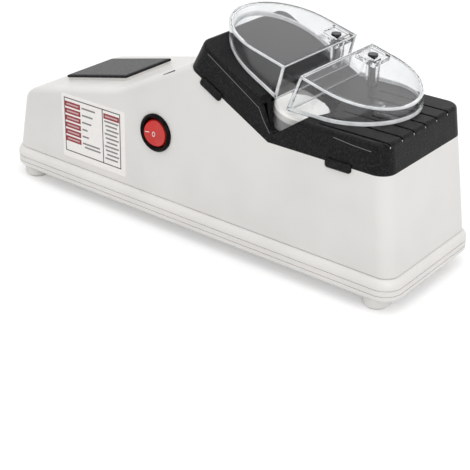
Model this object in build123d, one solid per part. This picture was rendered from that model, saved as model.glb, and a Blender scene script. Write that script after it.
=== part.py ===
from build123d import *
import math
import os

# ---------------------------------------------------------------------------------------------
# Driving dimensions, in millimetres and degrees. X runs along the machine towards the cutting
# head, Y to the back and Z up. The origin is on the worktop, under the middle of the base.
# ---------------------------------------------------------------------------------------------
# Housing and base
BODY_LENGTH = 264.0  # at the joint with the base tray
BODY_WIDTH = 75.0
FOOT_HEIGHT = 6.5
TRAY_HEIGHT = 13.0
TRAY_RIM = 2.4  # the tray stands out past the housing all round
TRAY_FLOOR = 2.5
SIDE_DRAFT = 2.0
LEFT_LEAN = 12.0
RIGHT_LEAN = 7.5
HOUSING_WALL = 3.0
LEFT_CORNER = 12.0  # radius of the upright corners at the low end
RIGHT_CORNER = 8.0
SHOULDER_RADIUS = 26.0
CREASE_RADIUS = 30.0
DECK_EDGE = 3.5
EDGE_START = 3.0  # the deck's rounded edges begin this far above the start of the shoulder

# Sloped deck with the hand stone
DECK_SLOPE = 12.5
CREASE_FROM_LEFT = 88.0
CREASE_HEIGHT = 54.0  # above the joint
STONE_FROM_CREASE = 34.6  # along the deck, from the crease to the middle of the stone
STONE_LENGTH = 49.3
STONE_WIDTH = 37.6
STONE_PAD = 1.4  # raised white pad under the stone's frame
STONE_FRAME = 1.2
STONE_THICKNESS = 1.0
STONE_SUNK = 0.8  # how deep the stone sits in its frame
STONE_BORDER = 1.5

# Cutting head: the cover's skirt starts at the peak, falls along the slope and runs level
HEAD_LENGTH = 126.8
PEAK_HEIGHT = 78.5  # above the joint
HEAD_SLOPE = 28.1
RIM_HEIGHT = 50.8  # level part of the housing rim, above the joint
SLOPE_DEPTH = 16.2  # cover thickness over the sloped part
FLAT_DEPTH = 15.2  # cover thickness over the level part
COVER_WALL = 2.2
COVER_ROOF = 2.6
COVER_CORNER = 7.0  # upright corners at the cover's high end
COVER_EDGE = 2.0  # rounding of the cover's top edges
LIP_CLEARANCE = 0.3
LIP_WALL = 1.4
LIP_RISE = 4.0
LIP_ROOT = 6.0

# Grinding wheel and its tilted axis
WHEEL_FROM_PEAK = 56.5  # along X, from the peak to the middle of the wheel's top face
WHEEL_Y = -13.5
WHEEL_TOP_HEIGHT = 63.9  # above the joint
WHEEL_RADIUS = 14.2
WHEEL_HEIGHT = 4.2
WHEEL_GAP = 3.0  # between the wheel and its hole in the cover
AXIS_TILT = 13.0
SHAFT_RADIUS = 1.585
SHAFT_CLEARANCE = 0.03
HUB_RADIUS = 5.0
HUB_HEIGHT = 12.0  # from the wheel's top face to the open bottom of the hub's cup
HUB_STEP = 1.0  # the cup is this much smaller than the wheel, all round
CUP_WALL = 2.0

# Motor
CAN_RADIUS = 17.9
CAN_LENGTH = 44.0
CAN_WALL = 1.5
CAN_BEVEL = 1.0
PLATE_THICKNESS = 2.0
PLATE_DEPTH = 17.8  # middle of the bracket plate below the wheel's top face
BRACKET_WIDTH = 30.0

# Clear guard
GUARD_RADIUS = 31.0
GUARD_SPREAD = 42.6  # between the two arc centres
GUARD_FROM_PEAK = 57.0  # along X, from the peak to the middle of the guard
GUARD_Y = 3.5
GUARD_WALL = 1.8
LID_THICKNESS = 2.0
LID_SLOPE = 15.1
LID_HEIGHT = 87.9  # above the joint, over the middle of the guard
SLOT_LEFT = (-7.0, 69.7)  # foot of the left slot wall: from the guard's middle, above the joint
SLOT_RIGHT = (-0.6, 66.2)
SLOT_LEFT_LEAN = 15.2
SLOT_RIGHT_LEAN = 22.5

# Rocker switch
SWITCH_FROM_CREASE = 27.3
SWITCH_HEIGHT = 36.4  # above the joint
BEZEL_RADIUS = 10.5
BEZEL_PROUD = 2.0
BARREL_RADIUS = 9.9
ROCKER_RADIUS = 7.5
ROCKER_PIVOT = -2.5
ROCKER_TILT = 9.0

# Power inlet
JACK_FROM_LEFT = 42.0
JACK_HEIGHT = 14.5  # above the joint
JACK_RADIUS = 5.5
JACK_FLANGE = 1.5  # its width and its thickness
JACK_BEVEL = (0.3, 0.5)
JACK_LENGTH = 12.0
JACK_BORE = (3.0, 9.0)  # radius and depth of the plug's hole
JACK_PIN = 1.0
PIN_ROOT = 0.5  # how far the pin is sunk in the hole's floor
PIN_TIP = 0.2  # how far it stands out of the wall
JACK_NUT = (2.4, 2.5)  # width outside the thread, to a corner, and thickness

# Feet and fasteners
FOOT_RADIUS = 7.25
FOOT_INSET = (11.0, 7.5)  # from the housing's outline, along X and Y
BASE_SCREW_INSET = (26.0, 10.5)
SCREW_RADIUS = 1.5
SCREW_CLEARANCE = 0.2
SCREW_HEAD = 1.3  # head height

# ---------------------------------------------------------------------------------------------
# Key points of the side view, as (x, z)
# ---------------------------------------------------------------------------------------------
JOINT_Z = FOOT_HEIGHT + TRAY_HEIGHT
FLOOR_Z = FOOT_HEIGHT + TRAY_FLOOR
LEFT_X = -BODY_LENGTH / 2
RIGHT_X = BODY_LENGTH / 2
OVERRUN = 20.0  # how far a cutter runs past what it cuts


def meet(p, p_angle, q, q_angle):
    """Crossing of two lines of the side view, each given by a point and an angle above +X."""
    pa = math.radians(p_angle)
    qa = math.radians(q_angle)
    reach = ((q[0] - p[0]) * math.sin(qa) - (q[1] - p[1]) * math.cos(qa)) / math.sin(qa - pa)
    return (p[0] + reach * math.cos(pa), p[1] + reach * math.sin(pa))


def step(p, angle, length):
    """Point at a length from p along an angle above +X."""
    return (
        p[0] + length * math.cos(math.radians(angle)),
        p[1] + length * math.sin(math.radians(angle)),
    )


def left_end(z):
    return meet((LEFT_X, JOINT_Z), 90 - LEFT_LEAN, (0, z), 0)


def right_end(z):
    return meet((RIGHT_X, JOINT_Z), 90 + RIGHT_LEAN, (0, z), 0)


CREASE = (LEFT_X + CREASE_FROM_LEFT, JOINT_Z + CREASE_HEIGHT)
SHOULDER = meet((LEFT_X, JOINT_Z), 90 - LEFT_LEAN, CREASE, DECK_SLOPE)
PEAK = (RIGHT_X - HEAD_LENGTH, JOINT_Z + PEAK_HEIGHT)
RIM_Z = JOINT_Z + RIM_HEIGHT
TOP_Z = RIM_Z + FLAT_DEPTH
RIDGE = step(PEAK, 90 - HEAD_SLOPE, SLOPE_DEPTH)
COVER_BEND = meet(RIDGE, -HEAD_SLOPE, (0, TOP_Z), 0)
WHEEL_TOP = (PEAK[0] + WHEEL_FROM_PEAK, WHEEL_Y, JOINT_Z + WHEEL_TOP_HEIGHT)
GUARD_X = PEAK[0] + GUARD_FROM_PEAK
LID_Z = JOINT_Z + LID_HEIGHT
FOOT_X = BODY_LENGTH / 2 - FOOT_INSET[0]
FOOT_Y = BODY_WIDTH / 2 - FOOT_INSET[1]
BASE_SCREW_X = BODY_LENGTH / 2 - BASE_SCREW_INSET[0]
BASE_SCREW_Y = BODY_WIDTH / 2 - BASE_SCREW_INSET[1]


def head_outline(drop):
    """Side view of the cutting head, with its lower line a drop below the skirt line."""
    low_peak = step(PEAK, 90 - HEAD_SLOPE, -drop)
    low_bend = meet(low_peak, -HEAD_SLOPE, (0, RIM_Z - drop), 0)
    return [low_peak, RIDGE, COVER_BEND, right_end(TOP_Z), right_end(RIM_Z - drop), low_bend]


def under_head_outline():
    """Side view of the space just below the cutting head's skirt line."""
    left, right = step(PEAK, 180 - HEAD_SLOPE, OVERRUN), (RIGHT_X + OVERRUN, RIM_Z)
    bend = meet(PEAK, -HEAD_SLOPE, (0, RIM_Z), 0)
    return [left, bend, right, (right[0], JOINT_Z), (left[0], JOINT_Z)]


def housing_outline(bottom):
    """Side view of the housing under the skirt line, down to the given height."""
    bend = meet(PEAK, -HEAD_SLOPE, (0, RIM_Z), 0)
    return [left_end(bottom), SHOULDER, CREASE, PEAK, bend, right_end(RIM_Z), right_end(bottom)]


def whole_outline(bottom):
    """Side view of the housing and the cover together, down to the given height."""
    return housing_outline(bottom)[:4] + head_outline(0)[1:4] + [right_end(bottom)]


# ---------------------------------------------------------------------------------------------
# Shared shapes
# ---------------------------------------------------------------------------------------------
def half_width(z, inset=0.0):
    """Half of the body's width at a height, its walls moved in by inset."""
    draft = math.radians(SIDE_DRAFT)
    return BODY_WIDTH / 2 - (z - JOINT_Z) * math.tan(draft) - inset / math.cos(draft)


def drafted(side_sketch, inset=0.0):
    """A side view made solid between the drafted front and back walls."""
    low = JOINT_Z - OVERRUN
    high = JOINT_Z + BODY_LENGTH
    ends = Polygon(
        (-half_width(low, inset), low),
        (half_width(low, inset), low),
        (half_width(high, inset), high),
        (-half_width(high, inset), high),
        align=None,
    )
    across = extrude(Plane.XZ * side_sketch, amount=BODY_WIDTH, both=True)
    along = extrude(Plane.YZ * ends, amount=BODY_LENGTH, both=True)
    return across & along


def plan_at(z, inset):
    """Plan of the body at a height, its upright corners rounded, every wall moved in by inset."""
    x_from = left_end(z)[0] + inset / math.cos(math.radians(LEFT_LEAN))
    x_to = right_end(z)[0] - inset / math.cos(math.radians(RIGHT_LEAN))
    y = half_width(z, inset)
    corners = [(x_from, -y), (x_from, y), (x_to, y), (x_to, -y)]
    plan = Polygon(*corners, align=None)
    plan = fillet(plan.vertices().group_by(Axis.X)[0], LEFT_CORNER - inset)
    plan = fillet(plan.vertices().group_by(Axis.X)[-1], RIGHT_CORNER - inset)
    return Pos(0, 0, z) * plan


def rounded_block(inset=0.0):
    """Block between the four leaning walls with rounded upright corners, over the full height."""
    return loft([plan_at(JOINT_Z - OVERRUN, inset), plan_at(RIDGE[1] + OVERRUN, inset)], ruled=True)


def inset_block(points, inset):
    """Block of a side view between the four walls, every wall moved in by inset."""
    side = offset(Polygon(*points, align=None), -inset, kind=Kind.INTERSECTION)
    return drafted(side, inset) & rounded_block(inset)


def rounded_side(points, inset=0.0):
    """Side view of the housing with its shoulder and its crease rounded."""
    side = Polygon(*points, align=None)
    if inset:
        side = offset(side, -inset, kind=Kind.INTERSECTION)
    for place, radius in ((SHOULDER, SHOULDER_RADIUS - inset), (CREASE, CREASE_RADIUS + inset)):
        side = fillet(side.vertices().sort_by_distance((place[0], place[1], 0))[0], radius)
    return side


def upright_edges(solid, x_from, x_to):
    """Edges that run more up than along, between two places on X."""
    found = []
    for edge in solid.edges():
        run = edge.position_at(1) - edge.position_at(0)
        if abs(run.Z) > max(abs(run.X), abs(run.Y)) and x_from < edge.center().X < x_to:
            found.append(edge)
    return found


def front_plane(x, z):
    """Plane on the front wall at x and z, looking out, its own y axis up."""
    draft = math.radians(SIDE_DRAFT)
    return Plane(
        origin=(x, -half_width(z), z),
        x_dir=(1, 0, 0),
        z_dir=(0, -math.cos(draft), math.sin(draft)),
    )


def axis_plane(depth=0.0):
    """Plane across the tilted wheel axis, a depth below the wheel's top face."""
    tilt = math.radians(AXIS_TILT)
    up = Vector(math.sin(tilt), 0, math.cos(tilt))
    return Plane(
        origin=Vector(*WHEEL_TOP) - up * depth,
        x_dir=(math.cos(tilt), 0, -math.sin(tilt)),
        z_dir=up,
    )


def turned(points):
    """Solid of revolution about +Z from an outline of (radius, height) points."""
    return revolve(Plane.XZ * Polygon(*points, align=None), axis=Axis.Z)


def disc(radius, low, high):
    """Round bar about +Z between two heights."""
    return Pos(0, 0, low) * Cylinder(radius, high - low, align=(Align.CENTER, Align.CENTER, Align.MIN))


def ring(outer, inner, low, high):
    return disc(outer, low, high) - disc(inner, low - 1, high + 1)


def block(x_from, x_to, y_from, y_to, z_from, z_to):
    """Box between two places on each axis."""
    return Pos((x_from + x_to) / 2, (y_from + y_to) / 2, (z_from + z_to) / 2) * Box(
        x_to - x_from, y_to - y_from, z_to - z_from
    )


def four_places(x, y):
    return [(x, y), (-x, y), (-x, -y), (x, -y)]


def keep(shape, name):
    """Write one piece of the machine."""
    solids = shape.solids()
    kept = Compound(children=list(solids)) if len(solids) > 1 else solids[0]
    export_step(kept, os.path.join("parts", name + ".step"))


# ---------------------------------------------------------------------------------------------
# Housing and base
# ---------------------------------------------------------------------------------------------
BOSS_RADIUS = 4.0
BOSS_TOP = JOINT_Z + 24.0
WEB_THICKNESS = 2.0
BASE_SCREW_LENGTH = 12.0
FOOT_STUD = 2.0
FOOT_STUD_RISE = 1.0  # above the tray's floor
TAB_LENGTH = 14.7
TAB_HANG = 2.8
TAB_HEIGHT = 4.6
TAB_PROUD = 1.4
TAB_PLACES = (16.0, 93.6)  # from the peak along X
DECK_SLOT = (10.0, 1.2, 1.0)  # length, width and depth of the moulded slot by the crease
DECK_SLOT_PLACE = (4.0, -2.0)  # up the deck from the crease, and on Y
PEG_RADIUS = 2.5
PEG_LENGTH = 3.0
PEG_SPREAD = 30.0
PAD_STEP = 0.5  # the stone's pad lies this far inside its frame
PAD_CORNER = 1.0
PAD_ROOT = 1.0  # how deep the pad runs into the deck
BOSS_GAP = 0.2  # between a screw boss and the tray's floor
PILOT_END = 2.0  # solid end of a boss past its pilot hole


def deck_edges(solid):
    """The housing's long top edges, from the shoulder's round corners up to the peak."""
    found = []
    for edge in solid.edges():
        middle = edge.position_at(0.5)
        run = edge.tangent_at(0.5)
        on_side = abs(middle.Y) > BODY_WIDTH / 4 and JOINT_Z + DECK_EDGE < middle.Z
        if on_side and middle.X < PEAK[0] and abs(run.Z) < 0.9 and abs(run.Y) < 0.95:
            found.append(edge)
    return found


def shoulder_start():
    """Height at which the left wall begins to curve over into the deck."""
    turn = math.radians(90 - LEFT_LEAN - DECK_SLOPE)
    return step(SHOULDER, 90 - LEFT_LEAN, -SHOULDER_RADIUS * math.tan(turn / 2))[1]


def housing_shape():
    """Outside of the housing, solid."""
    body = drafted(rounded_side(housing_outline(JOINT_Z))) & rounded_block()
    start = Plane.XY.offset(shoulder_start() + EDGE_START)
    upper = split(fillet(deck_edges(body), DECK_EDGE), bisect_by=start, keep=Keep.TOP)
    return upper + split(body, bisect_by=start, keep=Keep.BOTTOM)


def stone_pad():
    """Raised pad on the deck that carries the stone's frame."""
    outline = RectangleRounded(STONE_LENGTH - 2 * PAD_STEP, STONE_WIDTH - 2 * PAD_STEP, PAD_CORNER)
    pad = extrude(outline, amount=STONE_PAD)
    return deck_plane(STONE_FROM_CREASE) * (pad + Pos(0, 0, -PAD_ROOT) * pad)


def deck_plane(from_crease):
    """Plane on the sloped deck, its own x axis pointing up the slope."""
    x, z = step(CREASE, DECK_SLOPE, -from_crease)
    slope = math.radians(DECK_SLOPE)
    return Plane(
        origin=(x, 0, z),
        x_dir=(math.cos(slope), 0, math.sin(slope)),
        z_dir=(-math.sin(slope), 0, math.cos(slope)),
    )


def rim_lip():
    """Thin wall on the housing rim that the cover's skirt slides over."""
    outer = COVER_WALL + LIP_CLEARANCE
    inner = outer + LIP_WALL
    ring_body = inset_block(head_outline(OVERRUN), outer) - inset_block(head_outline(OVERRUN), inner)
    rise_peak = step(PEAK, 90 - HEAD_SLOPE, LIP_RISE)
    root_peak = step(PEAK, 90 - HEAD_SLOPE, -LIP_ROOT)
    band = Polygon(
        rise_peak,
        meet(rise_peak, -HEAD_SLOPE, (0, RIM_Z + LIP_RISE), 0),
        (RIGHT_X + OVERRUN, RIM_Z + LIP_RISE),
        (RIGHT_X + OVERRUN, RIM_Z - LIP_ROOT),
        meet(root_peak, -HEAD_SLOPE, (0, RIM_Z - LIP_ROOT), 0),
        root_peak,
        align=None,
    )
    return ring_body & extrude(Plane.XZ * band, amount=BODY_WIDTH, both=True)


def switch_plane():
    return front_plane(CREASE[0] + SWITCH_FROM_CREASE, JOINT_Z + SWITCH_HEIGHT)


def jack_plane():
    """Plane on the back wall where the power inlet sits, looking out of the wall."""
    draft = math.radians(SIDE_DRAFT)
    z = JOINT_Z + JACK_HEIGHT
    return Plane(
        origin=(LEFT_X + JACK_FROM_LEFT, half_width(z), z),
        x_dir=(-1, 0, 0),
        z_dir=(0, math.cos(draft), math.sin(draft)),
    )


def housing_cavity():
    """The housing's inside, open below and at the head."""
    side = rounded_side(whole_outline(JOINT_Z - OVERRUN), HOUSING_WALL)
    return drafted(side, HOUSING_WALL) & rounded_block(HOUSING_WALL)


def upper_housing():
    body = housing_shape() + stone_pad()
    body -= housing_cavity()
    body += rim_lip()
    for x, y in four_places(BASE_SCREW_X, BASE_SCREW_Y):
        side = 1 if y > 0 else -1
        post = Pos(x, y) * disc(BOSS_RADIUS, FLOOR_Z + BOSS_GAP, BOSS_TOP)
        wall_y = half_width(BOSS_TOP, HOUSING_WALL / 2)
        near, far = sorted((y, side * wall_y))
        half_web = WEB_THICKNESS / 2
        web = block(x - half_web, x + half_web, near, far, JOINT_Z + LIP_RISE, BOSS_TOP)
        pilot = Pos(x, y) * disc(SCREW_RADIUS, FLOOR_Z, BOSS_TOP - PILOT_END)
        body += post + web
        body -= pilot
    body -= switch_plane() * disc(BARREL_RADIUS + SCREW_CLEARANCE, -OVERRUN, OVERRUN)
    body -= jack_plane() * disc(JACK_RADIUS + SCREW_CLEARANCE, -HOUSING_WALL * 2, OVERRUN)
    for side in (-1, 1):
        peg_hole = disc(PEG_RADIUS + SCREW_CLEARANCE, -OVERRUN / 2, STONE_PAD + 1)
        body -= deck_plane(STONE_FROM_CREASE) * (Pos(side * PEG_SPREAD / 2, 0) * peg_hole)
    length, width, depth = DECK_SLOT
    groove = extrude(SlotOverall(length, width, rotation=90), amount=depth, both=True)
    along, across = DECK_SLOT_PLACE
    body -= deck_plane(-along) * (Pos(0, across) * groove)
    return body


def tray_plan():
    plan = Rectangle(BODY_LENGTH + 2 * TRAY_RIM, BODY_WIDTH + 2 * TRAY_RIM)
    plan = fillet(plan.vertices().group_by(Axis.X)[0], LEFT_CORNER + TRAY_RIM)
    return fillet(plan.vertices().group_by(Axis.X)[-1], RIGHT_CORNER + TRAY_RIM)


VENT_COUNT = 7
VENT_PITCH = 7.0
VENT_SLOT = (3.0, 34.0)
TONGUE_RISE = 2.0
TONGUE_WALL = 1.5
RIM_GROOVE = 0.5
RIM_GROOVE_SHARES = (0.54, 0.3)  # heights of the two grooves as shares of the tray's height
RIM_ROUND_SHARE = 0.4  # rounding of the rim's top
RIM_BEVEL_SHARE = 0.16  # bevel round its bottom
TONGUE_LEDGE = 1.0
PAD_HEIGHT = 4.0
PAD_RADIUS = 4.0


def base_tray():
    plan = tray_plan()
    tray = Pos(0, 0, FOOT_HEIGHT) * extrude(plan, amount=TRAY_HEIGHT)
    top_edges = tray.edges().group_by(Axis.Z)[-1]
    tray = fillet(top_edges, TRAY_HEIGHT * RIM_ROUND_SHARE)
    tray = chamfer(tray.edges().group_by(Axis.Z)[0], TRAY_HEIGHT * RIM_BEVEL_SHARE)
    seam = extrude(plan, amount=RIM_GROOVE) - extrude(offset(plan, -RIM_GROOVE), amount=RIM_GROOVE)
    for share in RIM_GROOVE_SHARES:
        tray -= Pos(0, 0, FOOT_HEIGHT + TRAY_HEIGHT * share) * seam
    pocket = offset(plan, -(TRAY_RIM + HOUSING_WALL))
    tray -= Pos(0, 0, FLOOR_Z) * extrude(pocket, amount=TRAY_HEIGHT)
    tongue_gap = LIP_CLEARANCE + TONGUE_RISE * math.tan(math.radians(LEFT_LEAN))
    tongue_out = offset(plan, -(TRAY_RIM + HOUSING_WALL + tongue_gap))
    tongue_in = offset(tongue_out, -TONGUE_WALL)
    tongue = extrude(tongue_out - tongue_in, amount=TRAY_HEIGHT - TRAY_FLOOR + TONGUE_RISE)
    foot_ledge = extrude(pocket - tongue_in, amount=TONGUE_LEDGE)
    tray += Pos(0, 0, FLOOR_Z) * (tongue + foot_ledge)
    for x, y in four_places(BASE_SCREW_X, BASE_SCREW_Y):
        tray -= Pos(x, y) * disc(BOSS_RADIUS + LIP_CLEARANCE, FLOOR_Z, JOINT_Z + OVERRUN)
        tray -= Pos(x, y) * disc(SCREW_RADIUS + SCREW_CLEARANCE, 0, FLOOR_Z)
        tray -= Pos(x, y) * disc(SCREW_RADIUS * 2 + SCREW_CLEARANCE, 0, FOOT_HEIGHT + SCREW_HEAD)
    vent = Pos(0, 0, FOOT_HEIGHT) * extrude(Rectangle(*VENT_SLOT), amount=TRAY_FLOOR)
    for index in range(VENT_COUNT):
        tray -= Pos(bracket_middle() + (index - (VENT_COUNT - 1) / 2) * VENT_PITCH, 0) * vent
    for x, y in bracket_holes():
        pad = Pos(x, y) * ring(PAD_RADIUS, SCREW_RADIUS, FLOOR_Z, FLOOR_Z + PAD_HEIGHT)
        tray += pad
    for x, y in four_places(FOOT_X, FOOT_Y):
        tray -= Pos(x, y) * disc(FOOT_STUD + SCREW_CLEARANCE, 0, FLOOR_Z + FOOT_STUD_RISE)
    return tray


def feet():
    """Four round feet, each with a stud pushed up through the tray floor."""
    edge = FOOT_HEIGHT * 0.25
    outline = [(0, 0), (FOOT_RADIUS - edge, 0), (FOOT_RADIUS, edge), (FOOT_RADIUS, FOOT_HEIGHT)]
    stud_top = FLOOR_Z + FOOT_STUD_RISE
    foot = turned(outline + [(FOOT_STUD, FOOT_HEIGHT), (FOOT_STUD, stud_top), (0, stud_top)])
    return Compound(children=[Pos(x, y) * foot for x, y in four_places(FOOT_X, FOOT_Y)])


def screw(radius, head_radius, head_height, length):
    """Screw pointing down with its head's underside at zero."""
    return disc(head_radius, 0, head_height) + disc(radius, -length, 0)


def base_screws():
    one = Rot(180, 0, 0) * screw(SCREW_RADIUS, SCREW_RADIUS * 2, SCREW_HEAD, BASE_SCREW_LENGTH)
    one = Pos(0, 0, FOOT_HEIGHT + SCREW_HEAD) * one
    return Compound(children=[Pos(x, y) * one for x, y in four_places(BASE_SCREW_X, BASE_SCREW_Y)])


# ---------------------------------------------------------------------------------------------
# Hand stone
# ---------------------------------------------------------------------------------------------
FRAME_CHAMFER = 0.4
FRAME_CORNER = 1.0


def stone_plan():
    return Rectangle(STONE_LENGTH - 2 * STONE_BORDER, STONE_WIDTH - 2 * STONE_BORDER)


def stone_tray():
    """Thin frame on the deck's pad, with two pegs through the housing wall."""
    frame = extrude(RectangleRounded(STONE_LENGTH, STONE_WIDTH, FRAME_CORNER), amount=STONE_FRAME)
    frame = chamfer(frame.edges().group_by(Axis.Z)[-1], FRAME_CHAMFER)
    frame -= Pos(0, 0, STONE_FRAME - STONE_SUNK) * extrude(stone_plan(), amount=STONE_SUNK)
    for side in (-1, 1):
        peg = disc(PEG_RADIUS, -STONE_PAD - PEG_LENGTH, STONE_FRAME - STONE_SUNK)
        frame += Pos(side * PEG_SPREAD / 2, 0) * peg
    return deck_plane(STONE_FROM_CREASE) * (Pos(0, 0, STONE_PAD) * frame)


def honing_stone():
    stone = extrude(stone_plan(), amount=STONE_THICKNESS)
    bottom = STONE_PAD + STONE_FRAME - STONE_SUNK
    return deck_plane(STONE_FROM_CREASE) * (Pos(0, 0, bottom) * stone)


# ---------------------------------------------------------------------------------------------
# Rocker switch, built looking out of the front wall
# ---------------------------------------------------------------------------------------------
TRUNNION_RADIUS = 1.5
ROCKER_BALL = 8.1  # the sphere it is trimmed to, about its pivot
ROCKER_VALLEY = 1.2  # the middle of the V face stands out this far from the wall
SWITCH_BARREL_DEPTH = 5.0
SWITCH_BODY_DEPTH = 19.0
SWITCH_WELL_DEPTH = 11.5
SWITCH_BODY_STEP = 0.5  # the body is this much slimmer than the barrel
SWING_GAP = 0.5  # round the rocker's sphere
FACE_GAP = 0.55  # round the rocker's face
LIP_BEVEL = 1.1
LIP_DEPTH = 0.6
BEZEL_BEVEL = 0.9
TRUNNION_GAP = 0.05
TERMINAL_SIZE = (4.8, 0.8, 8.0)  # width, thickness and length
TERMINAL_HOLE = (0.8, 5.5)  # radius and distance from the switch body
TERMINAL_SPREAD = 7.0


def switch_bezel():
    lip = ROCKER_RADIUS + FACE_GAP
    well = ROCKER_BALL + SWING_GAP
    outline = [
        (lip, BEZEL_PROUD * 0.45),
        (lip + LIP_BEVEL, BEZEL_PROUD),
        (BEZEL_RADIUS - BEZEL_BEVEL, BEZEL_PROUD),
        (BEZEL_RADIUS, BEZEL_PROUD * 0.5),
        (BEZEL_RADIUS, 0),
        (BARREL_RADIUS, 0),
        (BARREL_RADIUS, -SWITCH_BARREL_DEPTH),
        (well, -SWITCH_BARREL_DEPTH),
        (well, -LIP_DEPTH),
        (lip, 0),
    ]
    bezel = turned(outline)
    pin = Cylinder(TRUNNION_RADIUS + TRUNNION_GAP, BARREL_RADIUS * 2.2)
    bezel -= Pos(0, 0, ROCKER_PIVOT) * Rot(90, 0, 0) * pin
    return switch_plane() * bezel


def switch_body():
    well = ROCKER_BALL + SWING_GAP
    radius = BARREL_RADIUS - SWITCH_BODY_STEP
    outline = [
        (well, -SWITCH_BARREL_DEPTH),
        (radius, -SWITCH_BARREL_DEPTH),
        (radius, -SWITCH_BODY_DEPTH),
        (0, -SWITCH_BODY_DEPTH),
        (0, -SWITCH_WELL_DEPTH),
        (well, -SWITCH_WELL_DEPTH),
    ]
    return switch_plane() * turned(outline)


def switch_terminals():
    width, thickness, length = TERMINAL_SIZE
    radius, reach = TERMINAL_HOLE
    root = -SWITCH_BODY_DEPTH
    blade = block(-width / 2, width / 2, -thickness / 2, thickness / 2, root - length, root)
    blade -= Pos(0, 0, root - reach) * Rot(90, 0, 0) * Cylinder(radius, OVERRUN)
    half = TERMINAL_SPREAD / 2
    return switch_plane() * Compound(children=[Pos(0, y) * blade for y in (-half, half)])


def switch_rocker():
    """Round rocker with a shallow V face, tipped so that its right side is pressed in."""
    swing = Pos(0, 0, ROCKER_PIVOT) * Sphere(ROCKER_BALL)
    paddle = disc(ROCKER_RADIUS, -OVERRUN, OVERRUN) & swing
    wing = ROCKER_VALLEY + OVERRUN * math.tan(math.radians(ROCKER_TILT))
    v_face = [(OVERRUN, wing), (0, ROCKER_VALLEY), (-OVERRUN, wing)]
    face = Polygon((-OVERRUN, -OVERRUN), (OVERRUN, -OVERRUN), *v_face, align=None)
    paddle &= extrude(Plane.XZ * face, amount=OVERRUN, both=True)
    paddle += Pos(0, 0, ROCKER_PIVOT) * Rot(90, 0, 0) * Cylinder(TRUNNION_RADIUS, BARREL_RADIUS * 1.8)
    tipped = Pos(0, 0, ROCKER_PIVOT) * Rot(0, ROCKER_TILT, 0) * Pos(0, 0, -ROCKER_PIVOT)
    return switch_plane() * (tipped * paddle)


# ---------------------------------------------------------------------------------------------
# Power inlet, built looking out of the back wall
# ---------------------------------------------------------------------------------------------


def dc_jack():
    bore, depth = JACK_BORE
    across, along = JACK_BEVEL
    flange = JACK_RADIUS + JACK_FLANGE
    outline = [
        (bore, JACK_FLANGE),
        (flange - across, JACK_FLANGE),
        (flange, JACK_FLANGE - along),
        (flange, 0),
        (JACK_RADIUS, 0),
        (JACK_RADIUS, -JACK_LENGTH),
        (0, -JACK_LENGTH),
        (0, -depth),
        (bore, -depth),
    ]
    return jack_plane() * (turned(outline) + disc(JACK_PIN, -depth - PIN_ROOT, PIN_TIP))


def dc_jack_nut():
    wall, thickness = JACK_NUT
    nut = extrude(RegularPolygon(JACK_RADIUS + wall, 6), amount=-thickness)
    nut -= disc(JACK_RADIUS + SHAFT_CLEARANCE, -OVERRUN, OVERRUN)
    return jack_plane() * (Pos(0, 0, -HOUSING_WALL) * nut)


# ---------------------------------------------------------------------------------------------
# Cover and clear guard
# ---------------------------------------------------------------------------------------------
GROOVE_COUNT = 6
GROOVE_PITCH = 10.3
GROOVE_WIDTH = 1.4
GROOVE_DEPTH = 0.7
GROOVE_SHIFT = 0.2
GROOVE_END = (2.8, 2.2)  # width and depth of the nick where a groove runs over the edge
NOTCH_TIP = (53.2, 54.3)  # of the sharp V, from the peak along X and above the joint
NOTCH_LEFT = 113.0  # angles of the V's flanks above +X
NOTCH_RIGHT = 35.0
NOTCH_ROUND = 3.3
COLLAR_WALL = 2.5  # wall round the wheel's hole, under the cover
GUARD_BOSS = 3.5
GUARD_BOSS_DEPTH = 9.0


def top_edges(solid):
    """Outer edges of the cover's sloped and level tops, without the crease between them."""
    found = []
    for face in solid.faces():
        if face.normal_at().Z > 0.7:
            for edge in face.edges():
                middle = edge.position_at(0.5)
                on_crease = abs(middle.X - COVER_BEND[0]) < 0.1 and abs(middle.Y) < 1
                if not on_crease:
                    found.append(edge)
    return found


def cover_shape():
    """Outside of the cover, solid."""
    body = drafted(Polygon(*head_outline(0), align=None)) & rounded_block()
    body = fillet(upright_edges(body, PEAK[0] - OVERRUN, COVER_BEND[0]), COVER_CORNER)
    return fillet(top_edges(body), COVER_EDGE)


def skirt_tab(x):
    """Snap tab that hangs from the front skirt over the housing."""
    bend_x = meet(PEAK, -HEAD_SLOPE, (0, RIM_Z), 0)[0]
    sloped = x < bend_x
    z = meet(PEAK, -HEAD_SLOPE, (x, 0), 90)[1] if sloped else RIM_Z
    roll = -HEAD_SLOPE if sloped else 0
    outline = RectangleRounded(TAB_LENGTH, TAB_HEIGHT, TAB_HEIGHT / 3)
    tab = extrude(Pos(0, TAB_HEIGHT / 2 - TAB_HANG) * outline, amount=TAB_PROUD)
    tab = chamfer(tab.edges().group_by(Axis.Z)[-1], TAB_PROUD / 2)
    root = Rectangle(TAB_LENGTH - TAB_HEIGHT, TAB_HEIGHT - TAB_HANG, align=(Align.CENTER, Align.MIN))
    tab += extrude(root, amount=-COVER_WALL / 2)
    return front_plane(x, z) * (Rot(0, 0, roll) * tab)


def notch_cutter():
    """V notch with a round tip, from the cover's front to the middle of the wheel."""
    tip = (PEAK[0] + NOTCH_TIP[0], JOINT_Z + NOTCH_TIP[1])
    face = Polygon(tip, step(tip, NOTCH_RIGHT, BODY_WIDTH), step(tip, NOTCH_LEFT, BODY_WIDTH), align=None)
    face = fillet(face.vertices().sort_by_distance((tip[0], tip[1], 0))[0], NOTCH_ROUND)
    return Pos(0, WHEEL_Y) * extrude(Plane.XZ * face, amount=BODY_WIDTH)


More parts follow.
